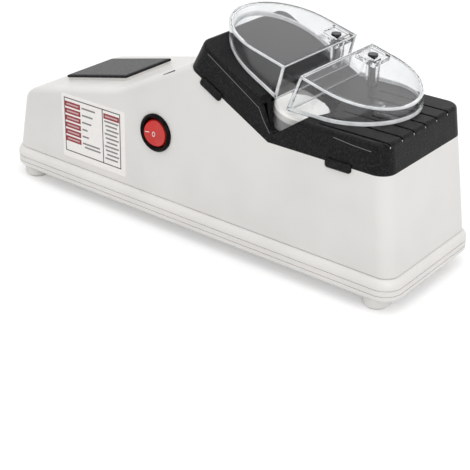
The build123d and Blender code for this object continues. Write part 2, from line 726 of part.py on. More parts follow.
def wheel_collar():
    """Wall round the front of the wheel's hole, down to just above the housing's lip."""
    radius = WHEEL_RADIUS + WHEEL_GAP + COLLAR_WALL
    above_lip = drafted(Polygon(*head_outline(-LIP_RISE - LIP_CLEARANCE), align=None))
    front = block(LEFT_X, RIGHT_X, -BODY_WIDTH / 2, WHEEL_Y, JOINT_Z, PEAK[1] + OVERRUN)
    return (axis_plane() * disc(radius, -BODY_WIDTH / 2, OVERRUN)) & above_lip & cover_shape() & front


def groove_cutter(y):
    """One groove of the level deck and the nick where it runs over the end."""
    half = GROOVE_WIDTH / 2
    from_x = GUARD_X + GUARD_SPREAD / 2
    groove = block(from_x, RIGHT_X, y - half, y + half, TOP_Z - GROOVE_DEPTH, TOP_Z + 1)
    end_x = right_end(TOP_Z)[0]
    half = GROOVE_END[0] / 2
    from_x = end_x - COVER_EDGE - 1
    return groove + block(from_x, end_x + 3, y - half, y + half, TOP_Z - GROOVE_END[1], TOP_Z + 1)


def top_cover():
    body = cover_shape()
    inner = offset(Polygon(*head_outline(OVERRUN), align=None), -COVER_WALL, kind=Kind.INTERSECTION)
    inner = Pos(0, COVER_WALL - COVER_ROOF) * inner
    body -= drafted(inner, COVER_WALL) & rounded_block(COVER_WALL)
    for x, y in guard_screw_places():
        body += Pos(x, y) * disc(GUARD_BOSS, roof_z(x) - GUARD_BOSS_DEPTH, roof_z(x) - COVER_ROOF / 2)
    body += wheel_collar()
    body -= axis_plane() * disc(WHEEL_RADIUS + WHEEL_GAP, -BODY_WIDTH / 2 - 1, OVERRUN)
    body -= notch_cutter()
    for index in range(GROOVE_COUNT):
        body -= groove_cutter((index - GROOVE_COUNT / 2) * GROOVE_PITCH + GROOVE_SHIFT)
    for x, y in guard_screw_places():
        body -= Pos(x, y) * disc(SCREW_RADIUS, roof_z(x) - OVERRUN, roof_z(x) + OVERRUN)
    for from_peak in TAB_PLACES:
        tab = skirt_tab(PEAK[0] + from_peak) - housing_shape()
        body += tab + mirror(tab, about=Plane.XZ)
    return body


def roof_z(x):
    """Height of the cover's top at x."""
    return max(TOP_Z, meet(RIDGE, -HEAD_SLOPE, (x, 0), 90)[1])


def lid_plane(drop):
    """Plane of the guard's lid, lowered by drop, looking up."""
    slope = math.radians(LID_SLOPE)
    normal = Vector(math.sin(slope), 0, math.cos(slope))
    middle = Vector(GUARD_X, GUARD_Y, LID_Z) - normal * drop
    return Plane(origin=middle, x_dir=(math.cos(slope), 0, -math.sin(slope)), z_dir=normal)


def slot_wall_plane(foot, lean, shift):
    """Plane of one slot wall, moved along +X by shift, looking towards +X."""
    angle = math.radians(lean)
    normal = Vector(math.cos(angle), 0, -math.sin(angle))
    at_foot = Vector(GUARD_X + foot[0], GUARD_Y, JOINT_Z + foot[1])
    return Plane(origin=at_foot + normal * shift, x_dir=(0, 1, 0), z_dir=normal)


def guard_block(inset, lid_drop):
    """The guard's whole oval, solid, every wall moved in by inset and its lid lowered."""
    plan = SlotCenterToCenter(GUARD_SPREAD, 2 * (GUARD_RADIUS - inset))
    oval = Pos(GUARD_X, GUARD_Y, RIM_Z) * extrude(plan, amount=BODY_WIDTH)
    return split(oval, bisect_by=lid_plane(lid_drop), keep=Keep.BOTTOM)


SEAT_SIZE = (9.0, 11.0)
SEAT_DEPTH = 2.5
SEAT_FROM_SLOT = (6.6, 5.6)  # middle of the left and the right screw from the slot's edge
SEAT_FROM_BACK = 9.0
RIM_ROUND = 0.8
CLIP_SIZE = (5.0, 3.0, 6.0)
CLIP_PLACE = (17.0, -9.5)  # of the snap clip, from the right arc's centre


def slot_x(foot, lean, z):
    """Place on X of a slot wall's outer face at a height."""
    return GUARD_X + foot[0] + (z - JOINT_Z - foot[1]) * math.tan(math.radians(lean))


def guard_screw_places():
    y = GUARD_Y + GUARD_RADIUS - SEAT_FROM_BACK
    left = slot_x(SLOT_LEFT, SLOT_LEFT_LEAN, LID_Z) - SEAT_FROM_SLOT[0]
    right = slot_x(SLOT_RIGHT, SLOT_RIGHT_LEAN, LID_Z) + SEAT_FROM_SLOT[1]
    return [(left, y), (right, y)]


def lid_z(x):
    """Height of the guard's lid at x."""
    return LID_Z - (x - GUARD_X) * math.tan(math.radians(LID_SLOPE))


def guard_half(foot, lean, side, screw_place):
    """One clear half: side is -1 for the left half and 1 for the right half."""
    which = Keep.BOTTOM if side < 0 else Keep.TOP
    outer = split(guard_block(0, 0), bisect_by=slot_wall_plane(foot, lean, 0), keep=which)
    lid = lid_plane(0)
    rim = [e for e in outer.edges() if abs(lid.to_local_coords(e.position_at(0.5)).Z) < 0.01]
    outer = fillet(rim, RIM_ROUND)
    wall = slot_wall_plane(foot, lean, side * GUARD_WALL)
    inner = split(guard_block(GUARD_WALL, LID_THICKNESS), bisect_by=wall, keep=which)
    x, y = screw_place
    at_lid = Pos(x, y, lid_z(x)) * Rot(0, LID_SLOPE, 0)
    length, width = SEAT_SIZE
    out_x = length / 2 + GUARD_WALL
    out_y = width / 2 + GUARD_WALL
    seat_block = at_lid * block(-out_x, out_x, -out_y, OVERRUN, -SEAT_DEPTH - LID_THICKNESS, 0)
    column = Pos(x, y) * disc(GUARD_BOSS, roof_z(x), lid_z(x))
    shell = outer - (inner - seat_block - column)
    shell -= at_lid * block(-length / 2, length / 2, -width / 2, width / 2, -SEAT_DEPTH, OVERRUN)
    shell -= Pos(x, y) * disc(SCREW_RADIUS + SCREW_CLEARANCE, RIM_Z, LID_Z + OVERRUN)
    return shell - cover_shape() - drafted(Polygon(*under_head_outline(), align=None))


def guard_left():
    return guard_half(SLOT_LEFT, SLOT_LEFT_LEAN, -1, guard_screw_places()[0])


def snap_clip():
    """Small hook that snaps the right half down on the cover."""
    length, width, height = CLIP_SIZE
    x = GUARD_X + GUARD_SPREAD / 2 + CLIP_PLACE[0]
    y = GUARD_Y + CLIP_PLACE[1]
    post = block(-length / 2, length / 2, -width / 2, width / 2, 0, height)
    post -= block(-length / 4, length / 4, -width, width, height / 3, height * 2 / 3)
    arm = block(0, GUARD_RADIUS, -width / 2, width / 2, 0, height / 3)
    inside = Pos(GUARD_X + GUARD_SPREAD / 2, GUARD_Y) * disc(GUARD_RADIUS - GUARD_WALL / 2, RIM_Z, LID_Z)
    return (Pos(x, y, TOP_Z) * (post + arm)) & inside


def guard_right():
    return guard_half(SLOT_RIGHT, SLOT_RIGHT_LEAN, 1, guard_screw_places()[1]) + snap_clip()


GUARD_SCREW_HEAD = 2.6
GUARD_SCREW_LIFT = 0.8  # the level head clears the sloped seat by this much on its low side


def guard_screws():
    screws = []
    for x, y in guard_screw_places():
        seat = lid_z(x) - SEAT_DEPTH / math.cos(math.radians(LID_SLOPE)) + GUARD_SCREW_LIFT
        length = seat - roof_z(x) + GUARD_BOSS_DEPTH - 2
        screws.append(Pos(x, y, seat) * screw(SCREW_RADIUS, GUARD_SCREW_HEAD, SCREW_HEAD, length))
    return Compound(children=screws)


# ---------------------------------------------------------------------------------------------
# Wheel and motor, built about the tilted axis with the wheel's top face at zero
# ---------------------------------------------------------------------------------------------
HUB_TOP = -2.6
SHAFT_TOP = HUB_TOP - 1.2
BOSS_WALL = 3.0  # of the hub round the shaft
WHEEL_CHAMFER = 1.0
DIMPLE = (5.0, 0.6)  # radius and depth of the hollow in the wheel's top face
CAN_TOP = -(PLATE_DEPTH + PLATE_THICKNESS / 2)
CAN_BOTTOM = CAN_TOP - CAN_LENGTH
CAP_THICKNESS = 3.0
BEARING_RADIUS = 6.5
BUSHING_RADIUS = 3.5
BEARING_HEIGHT = 2.5
MAGNET_THICKNESS = 2.6
MAGNET_LENGTH = 32.0
AIR_GAP = 0.6
CORE_LENGTH = 24.0
CORE_SLOTS = 5
MOTOR_SCREW_RADIUS = 1.3
MOTOR_SCREW_CIRCLE = 12.5
ROTOR_RADIUS = CAN_RADIUS - CAN_WALL - MAGNET_THICKNESS - AIR_GAP
CORE_TOP = CAN_TOP - 9.0
CORE_BOTTOM = CORE_TOP - CORE_LENGTH
SHAFT_STUB = 1.5  # how far the shaft stands out of the cap
SHAFT_BOTTOM = CAN_BOTTOM - CAP_THICKNESS - SHAFT_STUB
CAP_STEP = 0.4  # the cap is this much slimmer than the can
CAP_SPIGOT = 3.0  # how far the cap reaches into the can
CAP_SPIGOT_WALL = 1.5
CAP_WEB = 0.5  # thickness of the cap inside its spigot
MAGNET_DROP = 4.0  # the magnets start this far below the core
MAGNET_HALF_ANGLE = 60.0
SLOT_THROAT = 1.8
COIL_BORE = 5.0
COIL_HEIGHT = 3.5
COIL_OVERLAP = 0.5  # of the runs in the slots and the end turns
COMMUTATOR_DROP = 4.5  # its top, below the core
COMMUTATOR_LENGTH = 6.0
COMMUTATOR_RADIUS = 3.6
COMMUTATOR_RISER = (4.6, 1.2)  # radius and thickness of the collar that the coils join
SEGMENT_GAP = (3.0, 0.5)  # the gaps between its bars: from this radius outwards, and this wide
POCKET_SHARES = (0.62, 0.24)  # place and radius of a core slot's pocket, of the rotor's radius
COIL_SHARES = (0.84, 0.2)  # radius of the end turns and of a run in a slot, of the rotor's radius


def grinding_wheel():
    radius, depth = DIMPLE
    outline = [
        (0, -depth),
        (radius, -depth),
        (radius + depth, 0),
        (WHEEL_RADIUS - WHEEL_CHAMFER, 0),
        (WHEEL_RADIUS, -WHEEL_CHAMFER),
        (WHEEL_RADIUS, -WHEEL_HEIGHT),
        (HUB_RADIUS, -WHEEL_HEIGHT),
        (HUB_RADIUS, HUB_TOP),
        (0, HUB_TOP),
    ]
    return axis_plane() * turned(outline)


def wheel_hub():
    """Cup under the wheel, with a spigot up into it and a boss pressed on the shaft."""
    cup_radius = WHEEL_RADIUS - HUB_STEP
    boss_radius = SHAFT_RADIUS + BOSS_WALL
    outline = [
        (SHAFT_RADIUS, SHAFT_TOP),
        (0, SHAFT_TOP),
        (0, HUB_TOP),
        (HUB_RADIUS, HUB_TOP),
        (HUB_RADIUS, -WHEEL_HEIGHT),
        (cup_radius, -WHEEL_HEIGHT),
        (cup_radius, -HUB_HEIGHT),
        (cup_radius - CUP_WALL, -HUB_HEIGHT),
        (cup_radius - CUP_WALL, -WHEEL_HEIGHT - CUP_WALL),
        (boss_radius, -WHEEL_HEIGHT - CUP_WALL),
        (boss_radius, -HUB_HEIGHT),
        (SHAFT_RADIUS, -HUB_HEIGHT),
    ]
    return axis_plane() * turned(outline)


def motor_shaft():
    return axis_plane() * disc(SHAFT_RADIUS, SHAFT_BOTTOM, SHAFT_TOP)


def motor_can():
    can = disc(CAN_RADIUS, CAN_BOTTOM, CAN_TOP)
    can = chamfer(can.edges().group_by(Axis.Z)[-1], CAN_BEVEL)
    can += disc(BEARING_RADIUS, CAN_TOP - CAN_WALL / 2, CAN_TOP + BEARING_HEIGHT)
    can -= disc(CAN_RADIUS - CAN_WALL, CAN_BOTTOM - OVERRUN, CAN_TOP - CAN_WALL)
    can -= disc(BUSHING_RADIUS, CAN_TOP - OVERRUN, CAN_TOP + OVERRUN)
    for side in (-1, 1):
        hole = disc(MOTOR_SCREW_RADIUS, CAN_TOP - CAN_WALL * 2, CAN_TOP + OVERRUN)
        can -= Pos(side * MOTOR_SCREW_CIRCLE, 0) * hole
    return axis_plane() * can


def motor_end_cap():
    inside = CAN_RADIUS - CAN_WALL
    cap = disc(CAN_RADIUS - CAP_STEP, CAN_BOTTOM - CAP_THICKNESS, CAN_BOTTOM)
    cap += disc(inside, CAN_BOTTOM, CAN_BOTTOM + CAP_SPIGOT)
    cap -= disc(inside - CAP_SPIGOT_WALL, CAN_BOTTOM + CAP_WEB, CAN_BOTTOM + OVERRUN)
    cap -= disc(BUSHING_RADIUS, CAN_BOTTOM - OVERRUN, CAN_BOTTOM + OVERRUN)
    return axis_plane() * cap


def motor_bushings():
    bore = SHAFT_RADIUS + SHAFT_CLEARANCE
    front = ring(BUSHING_RADIUS, bore, CAN_TOP - CAN_WALL, CAN_TOP + BEARING_HEIGHT)
    rear = ring(BUSHING_RADIUS, bore, CAN_BOTTOM - CAP_THICKNESS, CAN_BOTTOM + CAP_WEB)
    return axis_plane() * Compound(children=[front, rear])


def motor_magnets():
    """Two curved field magnets against the inside of the can."""
    outer = CAN_RADIUS - CAN_WALL
    bottom = CORE_BOTTOM - MAGNET_DROP
    shell = ring(outer, outer - MAGNET_THICKNESS, bottom, bottom + MAGNET_LENGTH)
    wedge_reach = outer * 2
    spread = math.radians(MAGNET_HALF_ANGLE)
    wedge = Polygon(
        (0, 0),
        (wedge_reach * math.cos(spread), wedge_reach * math.sin(spread)),
        (wedge_reach * 2, 0),
        (wedge_reach * math.cos(spread), -wedge_reach * math.sin(spread)),
        align=None,
    )
    sector = extrude(wedge, amount=BODY_LENGTH, both=True)
    right = shell & sector
    left = shell & (Rot(0, 0, 180) * sector)
    return axis_plane() * Compound(children=[*right.solids(), *left.solids()])


def rotor_core():
    """Stack of laminations with T-shaped teeth."""
    low, high = CORE_BOTTOM - OVERRUN, CORE_TOP + OVERRUN
    core = disc(ROTOR_RADIUS, CORE_BOTTOM, CORE_TOP) - disc(SHAFT_RADIUS, low, high)
    turn = 360 / CORE_SLOTS
    place, radius = [share * ROTOR_RADIUS for share in POCKET_SHARES]
    throat = block(place, OVERRUN, -SLOT_THROAT / 2, SLOT_THROAT / 2, low, high)
    cut = throat + Pos(place, 0) * disc(radius, low, high)
    for index in range(CORE_SLOTS):
        core -= Rot(0, 0, index * turn) * cut
    return axis_plane() * core


def rotor_windings():
    """Copper end turns above and below the core, joined by the runs in the slots."""
    outer, run_radius = [share * ROTOR_RADIUS for share in COIL_SHARES]
    coil = ring(outer, COIL_BORE, CORE_BOTTOM - COIL_HEIGHT, CORE_BOTTOM)
    coil += ring(outer, COIL_BORE, CORE_TOP, CORE_TOP + COIL_HEIGHT)
    turn = 360 / CORE_SLOTS
    run = disc(run_radius, CORE_BOTTOM - COIL_OVERLAP, CORE_TOP + COIL_OVERLAP)
    run = Pos(POCKET_SHARES[0] * ROTOR_RADIUS, 0) * run
    for index in range(CORE_SLOTS):
        coil += Rot(0, 0, index * turn) * run
    return axis_plane() * coil


def commutator():
    top = CORE_BOTTOM - COMMUTATOR_DROP
    riser_radius, riser = COMMUTATOR_RISER
    barrel = ring(COMMUTATOR_RADIUS, SHAFT_RADIUS, top - COMMUTATOR_LENGTH, top)
    barrel += ring(riser_radius, SHAFT_RADIUS, top - riser, top)
    turn = 360 / CORE_SLOTS
    from_radius, width = SEGMENT_GAP
    gap = block(from_radius, OVERRUN, -width / 2, width / 2, top - OVERRUN, top + OVERRUN)
    for index in range(CORE_SLOTS):
        barrel -= Rot(0, 0, (index + 0.5) * turn) * gap
    return axis_plane() * barrel


LEG_REACH = 20.8  # middle of each bracket leg from the wheel axis
SHOE_LENGTH = 13.0
BRACKET_BEND = 3.0  # radius of its bends
HOLE_FROM_TOE = 5.0
HOLE_SPREAD_SHARE = 0.6  # of the bracket's width
SHOE_Z = FLOOR_Z + PAD_HEIGHT + PLATE_THICKNESS / 2


def axis_point(x, z):
    """Side-view place of a point given across and along the tilted axis."""
    place = axis_plane().from_local_coords(Vector(x, 0, z))
    return (place.X, place.Z)


def bracket_path():
    """Middle line of the bracket sheet, from one shoe to the other."""
    left_top = axis_point(-LEG_REACH, -PLATE_DEPTH)
    right_top = axis_point(LEG_REACH, -PLATE_DEPTH)
    left_foot = meet(left_top, 90 - AXIS_TILT, (0, SHOE_Z), 0)
    right_foot = meet(right_top, 90 - AXIS_TILT, (0, SHOE_Z), 0)
    left_toe = (left_foot[0] - SHOE_LENGTH, SHOE_Z)
    right_toe = (right_foot[0] + SHOE_LENGTH, SHOE_Z)
    return [left_toe, left_foot, left_top, right_top, right_foot, right_toe]


def bracket_middle():
    path = bracket_path()
    return (path[1][0] + path[4][0]) / 2


def bracket_holes():
    """Places of the four screws that hold the bracket to the tray, as (x, y)."""
    path = bracket_path()
    places = []
    for toe_x, inward in ((path[0][0], 1), (path[5][0], -1)):
        for side in (-1, 1):
            y = WHEEL_Y + side * BRACKET_WIDTH * HOLE_SPREAD_SHARE / 2
            places.append((toe_x + inward * HOLE_FROM_TOE, y))
    return places


def motor_bracket():
    line = FilletPolyline(*bracket_path(), radius=BRACKET_BEND)
    sheet = trace(line, line_width=PLATE_THICKNESS)
    bracket = Pos(0, WHEEL_Y) * extrude(Plane.XZ * sheet, amount=BRACKET_WIDTH / 2, both=True)
    low = -PLATE_DEPTH - PLATE_THICKNESS * 2
    high = -PLATE_DEPTH + PLATE_THICKNESS * 2
    bore = disc(BEARING_RADIUS + SCREW_CLEARANCE, low, high)
    hole = disc(MOTOR_SCREW_RADIUS + SCREW_CLEARANCE / 2, low, high)
    for side in (-1, 1):
        bore += Pos(side * MOTOR_SCREW_CIRCLE, 0) * hole
    bracket -= axis_plane() * bore
    for x, y in bracket_holes():
        hole = disc(SCREW_RADIUS + SCREW_CLEARANCE, SHOE_Z - PLATE_THICKNESS, SHOE_Z + PLATE_THICKNESS)
        bracket -= Pos(x, y) * hole
    return bracket


def bracket_screws():
    top = SHOE_Z + PLATE_THICKNESS / 2
    one = screw(SCREW_RADIUS, SCREW_RADIUS * 1.9, SCREW_HEAD, PLATE_THICKNESS + PAD_HEIGHT - 0.5)
    return Compound(children=[Pos(x, y, top) * one for x, y in bracket_holes()])


def motor_screws():
    radius = MOTOR_SCREW_RADIUS - SHAFT_CLEARANCE
    one = screw(radius, MOTOR_SCREW_RADIUS * 1.8, SCREW_HEAD, PLATE_THICKNESS + CAN_WALL)
    seat = -PLATE_DEPTH + PLATE_THICKNESS / 2
    pair = [Pos(side * MOTOR_SCREW_CIRCLE, 0, seat) * one for side in (-1, 1)]
    return axis_plane() * Compound(children=pair)


PIECES = [
    upper_housing,
    base_tray,
    feet,
    base_screws,
    stone_tray,
    honing_stone,
    switch_bezel,
    switch_rocker,
    switch_body,
    switch_terminals,
    dc_jack,
    dc_jack_nut,
    top_cover,
    guard_left,
    guard_right,
    guard_screws,
    grinding_wheel,
    wheel_hub,
    motor_shaft,
    motor_can,
    motor_end_cap,
    motor_bushings,
    motor_magnets,
    rotor_core,
    rotor_windings,
    commutator,
    motor_bracket,
    bracket_screws,
    motor_screws,
]

os.makedirs("parts", exist_ok=True)
for piece in PIECES:
    keep(piece(), piece.__name__)
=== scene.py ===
import math

import bmesh
import bpy
from mathutils import Matrix, Vector


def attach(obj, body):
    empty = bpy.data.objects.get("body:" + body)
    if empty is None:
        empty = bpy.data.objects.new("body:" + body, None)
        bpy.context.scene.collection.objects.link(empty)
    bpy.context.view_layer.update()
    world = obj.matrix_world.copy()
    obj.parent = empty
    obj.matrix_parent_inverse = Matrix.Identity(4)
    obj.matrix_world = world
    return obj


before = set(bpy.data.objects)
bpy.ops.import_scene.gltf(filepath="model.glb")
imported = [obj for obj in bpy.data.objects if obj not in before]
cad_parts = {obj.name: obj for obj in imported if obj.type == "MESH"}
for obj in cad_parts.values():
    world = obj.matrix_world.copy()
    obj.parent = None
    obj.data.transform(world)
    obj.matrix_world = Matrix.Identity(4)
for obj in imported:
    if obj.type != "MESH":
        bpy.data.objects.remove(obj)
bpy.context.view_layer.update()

# ---------------------------------------------------------------------------------------------
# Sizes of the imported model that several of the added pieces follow, in metres
# ---------------------------------------------------------------------------------------------
MM = 0.001
JOINT_Z = 19.5 * MM  # where the housing meets the base tray
HALF_WIDTH = 37.5 * MM  # of the housing at the joint
SIDE_DRAFT = math.radians(2.0)  # lean of the front wall
RAMP_SLOPE = math.radians(28.1)  # of the ramp and of the cover that goes on from it


# ---------------------------------------------------------------------------------------------
# Shader building
# ---------------------------------------------------------------------------------------------
class Wire:
    """A shader value that can stand in a sum: each operator adds its Math node."""

    def __init__(self, shading, socket):
        self.shading = shading
        self.socket = socket

    def maths(self, operation, *values, **settings):
        settings["operation"] = operation
        return self.shading.node("ShaderNodeMath", settings, dict(enumerate(values)))

    def __add__(self, other):
        return self.maths("ADD", self, other)

    __radd__ = __add__

    def __sub__(self, other):
        return self.maths("SUBTRACT", self, other)

    def __rsub__(self, other):
        return self.maths("SUBTRACT", other, self)

    def __mul__(self, other):
        return self.maths("MULTIPLY", self, other)

    __rmul__ = __mul__

    def clamped(self):
        return self.maths("ADD", self, 0.0, use_clamp=True)

    def rise(self, low, high):
        """0 below low, 1 above high, smooth between."""
        values = {"Value": self, "From Min": low, "From Max": high, "To Min": 0.0, "To Max": 1.0}
        return self.shading.node("ShaderNodeMapRange", {"interpolation_type": "SMOOTHSTEP"}, values)


class Shading:
    """A node tree, of a material or of the world, and the one way to add a node to it."""

    def __init__(self, tree):
        self.tree = tree

    def node(self, kind, settings=None, values=None, output=0):
        made = self.tree.nodes.new(kind)
        for key, value in (settings or {}).items():
            setattr(made, key, value)
        for key, value in (values or {}).items():
            self.feed(made.inputs[key], value)
        return Wire(self, made.outputs[output])

    def feed(self, socket, value):
        if isinstance(value, Wire):
            self.tree.links.new(value.socket, socket)
        elif socket.type == "RGBA" and len(value) == 3:
            socket.default_value = (*value, 1.0)
        else:
            socket.default_value = value

    def seen_rays(self):
        """1 for rays from the camera, mirror rays and rays through glass."""
        names = ("Is Camera Ray", "Is Glossy Ray", "Is Transmission Ray")
        direct, mirrored, through = [self.node("ShaderNodeLightPath", output=name) for name in names]
        return (direct + mirrored + through).clamped()


class Finish(Shading):
    """One material: its main shader and the patterns that the finishes share."""

    def __init__(self, name, **constants):
        self.material = bpy.data.materials.new(name)
        self.material.use_nodes = True
        super().__init__(self.material.node_tree)
        self.shader = self.tree.nodes["Principled BSDF"]
        self.output = self.tree.nodes["Material Output"]
        self.set(**constants)

    def set(self, **inputs):
        for key, value in inputs.items():
            self.feed(self.shader.inputs[key.replace("_", " ")], value)
        return self

    def place(self):
        """Where a point lies on the piece, in metres."""
        return self.node("ShaderNodeTexCoord", output="Object")

    def axis(self, name):
        return self.node("ShaderNodeSeparateXYZ", None, {0: self.place()}, output=name)

    def noise(self, size, detail=3.0, roughness=0.5, place=None):
        """Soft noise from 0 to 1 whose blots are about size across."""
        values = {
            "Vector": place or self.place(),
            "Scale": 1.0 / size,
            "Detail": detail,
            "Roughness": roughness,
        }
        return self.node("ShaderNodeTexNoise", None, values)

    def grains(self, size):
        """Distance to the middle of scattered cells about size across."""
        values = {"Vector": self.place(), "Scale": 1.0 / size}
        return self.node("ShaderNodeTexVoronoi", None, values)

    def streaks(self, length, width, detail, roughness):
        """Noise drawn out into streaks along X."""
        values = {"Vector": self.place(), "Scale": (1.0 / length, 1.0 / width, 1.0 / width)}
        drawn_out = self.node("ShaderNodeMapping", {"vector_type": "POINT"}, values)
        return self.noise(1.0, detail, roughness, drawn_out)

    def blend(self, amount, first, second):
        """Colour that goes from first to second as amount goes from 0 to 1."""
        settings = {"data_type": "RGBA", "clamp_factor": True}
        return self.node("ShaderNodeMix", settings, {0: amount, 6: first, 7: second}, output=2)

    def relief(self, height, depth):
        """Normal of a surface whose height, from 0 to 1, stands for a depth in metres."""
        values = {"Height": height, "Distance": depth, "Strength": 1.0}
        return self.node("ShaderNodeBump", None, values)


def spread(pattern, middle, width):
    """A value that follows a pattern from 0 to 1 and stays within width, about its middle."""
    return pattern * width + (middle - width / 2)


def scaled(colour, factor, lift=0.0):
    return [channel * factor + lift for channel in colour]


def grey(level):
    return (level, level, level)


# ---------------------------------------------------------------------------------------------
# Finishes
# ---------------------------------------------------------------------------------------------
DUST_HEIGHT = (8 * MM, 30 * MM)  # the dust thins out between these heights
DUST_STRENGTH = 0.35
DUST_TINT = (0.86, 0.85, 0.82)
RUB_STRENGTH = 0.6
FLECK_STRENGTH = 0.5


def moulded_white(name, colour, roughness):
    """Satin white plastic: faint clouding, fine orange peel, a little dust low down."""
    finish = Finish(name, Specular_IOR_Level=0.45)
    cloud = finish.noise(45 * MM, detail=2.0).rise(0.35, 0.75)
    low_down = 1.0 - finish.axis("Z").rise(*DUST_HEIGHT)
    dust = low_down * finish.noise(6 * MM, detail=4.0) * DUST_STRENGTH
    dusty = [channel * tint for channel, tint in zip(colour, DUST_TINT)]
    tone = finish.blend(cloud, colour, scaled(colour, 0.93))
    tone = finish.blend(dust, tone, dusty)
    coarse = finish.noise(1.1 * MM, detail=2.0)
    fine = finish.noise(0.35 * MM, detail=1.0)
    peel = finish.relief(coarse * 0.7 + fine * 0.3, depth=0.012 * MM)
    gloss = spread(finish.noise(18 * MM), roughness, width=0.08)
    return finish.set(Base_Color=tone, Roughness=gloss, Normal=peel)


def matt_black(name, colour, roughness):
    """Black plastic with a spark-eroded grain, faint rubbed patches and grey dust in the grain."""
    finish = Finish(name, Specular_IOR_Level=0.13)
    rubbed = finish.noise(14 * MM, detail=5.0, roughness=0.6).rise(0.5, 0.8)
    dust = finish.noise(0.8 * MM, detail=4.0, roughness=0.7).rise(0.42, 0.7)
    tone = finish.blend(rubbed * RUB_STRENGTH, colour, scaled(colour, 1.5, lift=0.001))
    tone = finish.blend(dust * 0.75, tone, scaled(colour, 1.0, lift=0.028))
    pits = finish.noise(0.5 * MM, detail=2.0) + finish.grains(0.7 * MM) * 0.5
    grain = finish.relief(pits, depth=0.03 * MM)
    return finish.set(Base_Color=tone, Roughness=roughness - rubbed * 0.1, Normal=grain)


def clear_plastic(name):
    """Clear moulded plastic that lets lamps through to what is behind it."""
    finish = Finish(name, Transmission_Weight=0.985, IOR=1.38)
    smear = finish.noise(9 * MM, detail=4.0, roughness=0.65)
    tint = finish.blend(smear.rise(0.4, 0.8), (0.945, 0.95, 0.955), (0.90, 0.91, 0.92))
    gloss = smear.rise(0.45, 0.8) * 0.05 + 0.015
    finish.set(Base_Color=tint, Roughness=gloss)
    lamp_ray = finish.node("ShaderNodeLightPath", output="Is Shadow Ray")
    pane = finish.node("ShaderNodeBsdfTransparent", None, {"Color": (0.975, 0.978, 0.98)})
    solid = Wire(finish, finish.shader.outputs[0])
    mixed = finish.node("ShaderNodeMixShader", None, {0: lamp_ray, 1: solid, 2: pane})
    finish.feed(finish.output.inputs["Surface"], mixed)
    return finish


def glossy_plastic(name, colour, roughness, shine=0.5):
    """Polished coloured plastic with faint flow marks."""
    finish = Finish(name, Specular_IOR_Level=shine)
    flow = finish.noise(5 * MM)
    tone = finish.blend(flow.rise(0.3, 0.8), colour, scaled(colour, 0.8))
    gloss = spread(flow, roughness, width=0.1)
    ripple = finish.relief(finish.noise(1.6 * MM, detail=1.0), depth=0.01 * MM)
    return finish.set(Base_Color=tone, Roughness=gloss, Normal=ripple)


def abrasive(name, colour, fleck, grain, roughness=0.8, depth=0.06 * MM, pore_shade=0.72):
    """Sintered grit: fine grains, a few bright ones, open pores."""
    finish = Finish(name, Specular_IOR_Level=0.35)
    grit = finish.grains(grain)
    pores = finish.noise(grain * 3, detail=3.0, roughness=0.6)
    bright = grit.rise(0.55, 0.8) * FLECK_STRENGTH
    tone = finish.blend(pores.rise(0.35, 0.7), scaled(colour, pore_shade), colour)
    tone = finish.blend(bright, tone, fleck)
    rough = finish.relief(grit * 0.6 + pores, depth)
    return finish.set(Base_Color=tone, Roughness=roughness - bright * 0.3, Normal=rough)


def plated_metal(name, colour, roughness):
    """Plated or ground metal with fine turning marks."""
    finish = Finish(name, Metallic=1.0)
    lines = finish.streaks(6 * MM, 0.25 * MM, detail=3.0, roughness=0.6)
    stain = finish.noise(7 * MM, detail=4.0)
    tone = finish.blend(stain.rise(0.45, 0.8), colour, scaled(colour, 0.78))
    gloss = lines * 0.16 + stain * 0.1 + (roughness - 0.1)
    turned = finish.relief(lines, depth=0.006 * MM)
    return finish.set(Base_Color=tone, Roughness=gloss, Normal=turned)


def printed(name, colour, roughness=0.42):
    """Ink or film, a little uneven."""
    finish = Finish(name, Specular_IOR_Level=0.4)
    patch = finish.noise(1.8 * MM, detail=4.0, roughness=0.6)
    tone = finish.blend(patch.rise(0.45, 0.75), colour, scaled(colour, 0.9, lift=0.02))
    return finish.set(Base_Color=tone, Roughness=spread(patch, roughness, width=0.12))


SHELL_WHITE = moulded_white("satin_white_shell", (0.77, 0.755, 0.735), 0.34)
TRAY_WHITE = moulded_white("satin_white_tray", (0.81, 0.795, 0.775), 0.36)
FOOT_WHITE = moulded_white("soft_white_foot", (0.80, 0.785, 0.765), 0.55)
COVER_BLACK = matt_black("grained_black_cover", (0.002, 0.002, 0.0023), 0.42)
FRAME_BLACK = matt_black("stone_frame_black", (0.003, 0.003, 0.0033), 0.42)
SWITCH_BLACK = glossy_plastic("switch_black", (0.002, 0.002, 0.0023), 0.2, shine=0.07)
ROCKER_RED = glossy_plastic("rocker_red", (0.62, 0.018, 0.012), 0.2)
GUARD_CLEAR = clear_plastic("guard_clear")
# Painted highlight: pale opaque plastic for the bars that stand for light caught in the clear guard's
# rims.
GUARD_RIM_HIGHLIGHT = glossy_plastic("guard_rim_highlight", (0.93, 0.94, 0.945), 0.2)
STONE_GREY = abrasive("stone_grey", (0.12, 0.12, 0.122), (0.26, 0.26, 0.262), 0.35 * MM)
WHEEL_WHITE = abrasive(
    "wheel_white",
    (0.97, 0.96, 0.93),
    (0.98, 0.98, 0.97),
    0.3 * MM,
    roughness=0.7,
    depth=0.01 * MM,
    pore_shade=0.96,
)
HUB_GREY = glossy_plastic("hub_grey", (0.8, 0.8, 0.79), 0.4)
SCREW_STEEL = plated_metal("screw_steel", (0.56, 0.56, 0.58), 0.32)
SCREW_DARK = plated_metal("screw_dark", (0.09, 0.09, 0.1), 0.3)
CAN_ZINC = plated_metal("can_zinc", (0.66, 0.65, 0.62), 0.28)
SHAFT_STEEL = plated_metal("shaft_steel", (0.6, 0.6, 0.61), 0.2)
BRACKET_STEEL = plated_metal("bracket_steel", (0.58, 0.57, 0.54), 0.36)
BUSH_BRONZE = plated_metal("bush_bronze", (0.48, 0.3, 0.14), 0.45)
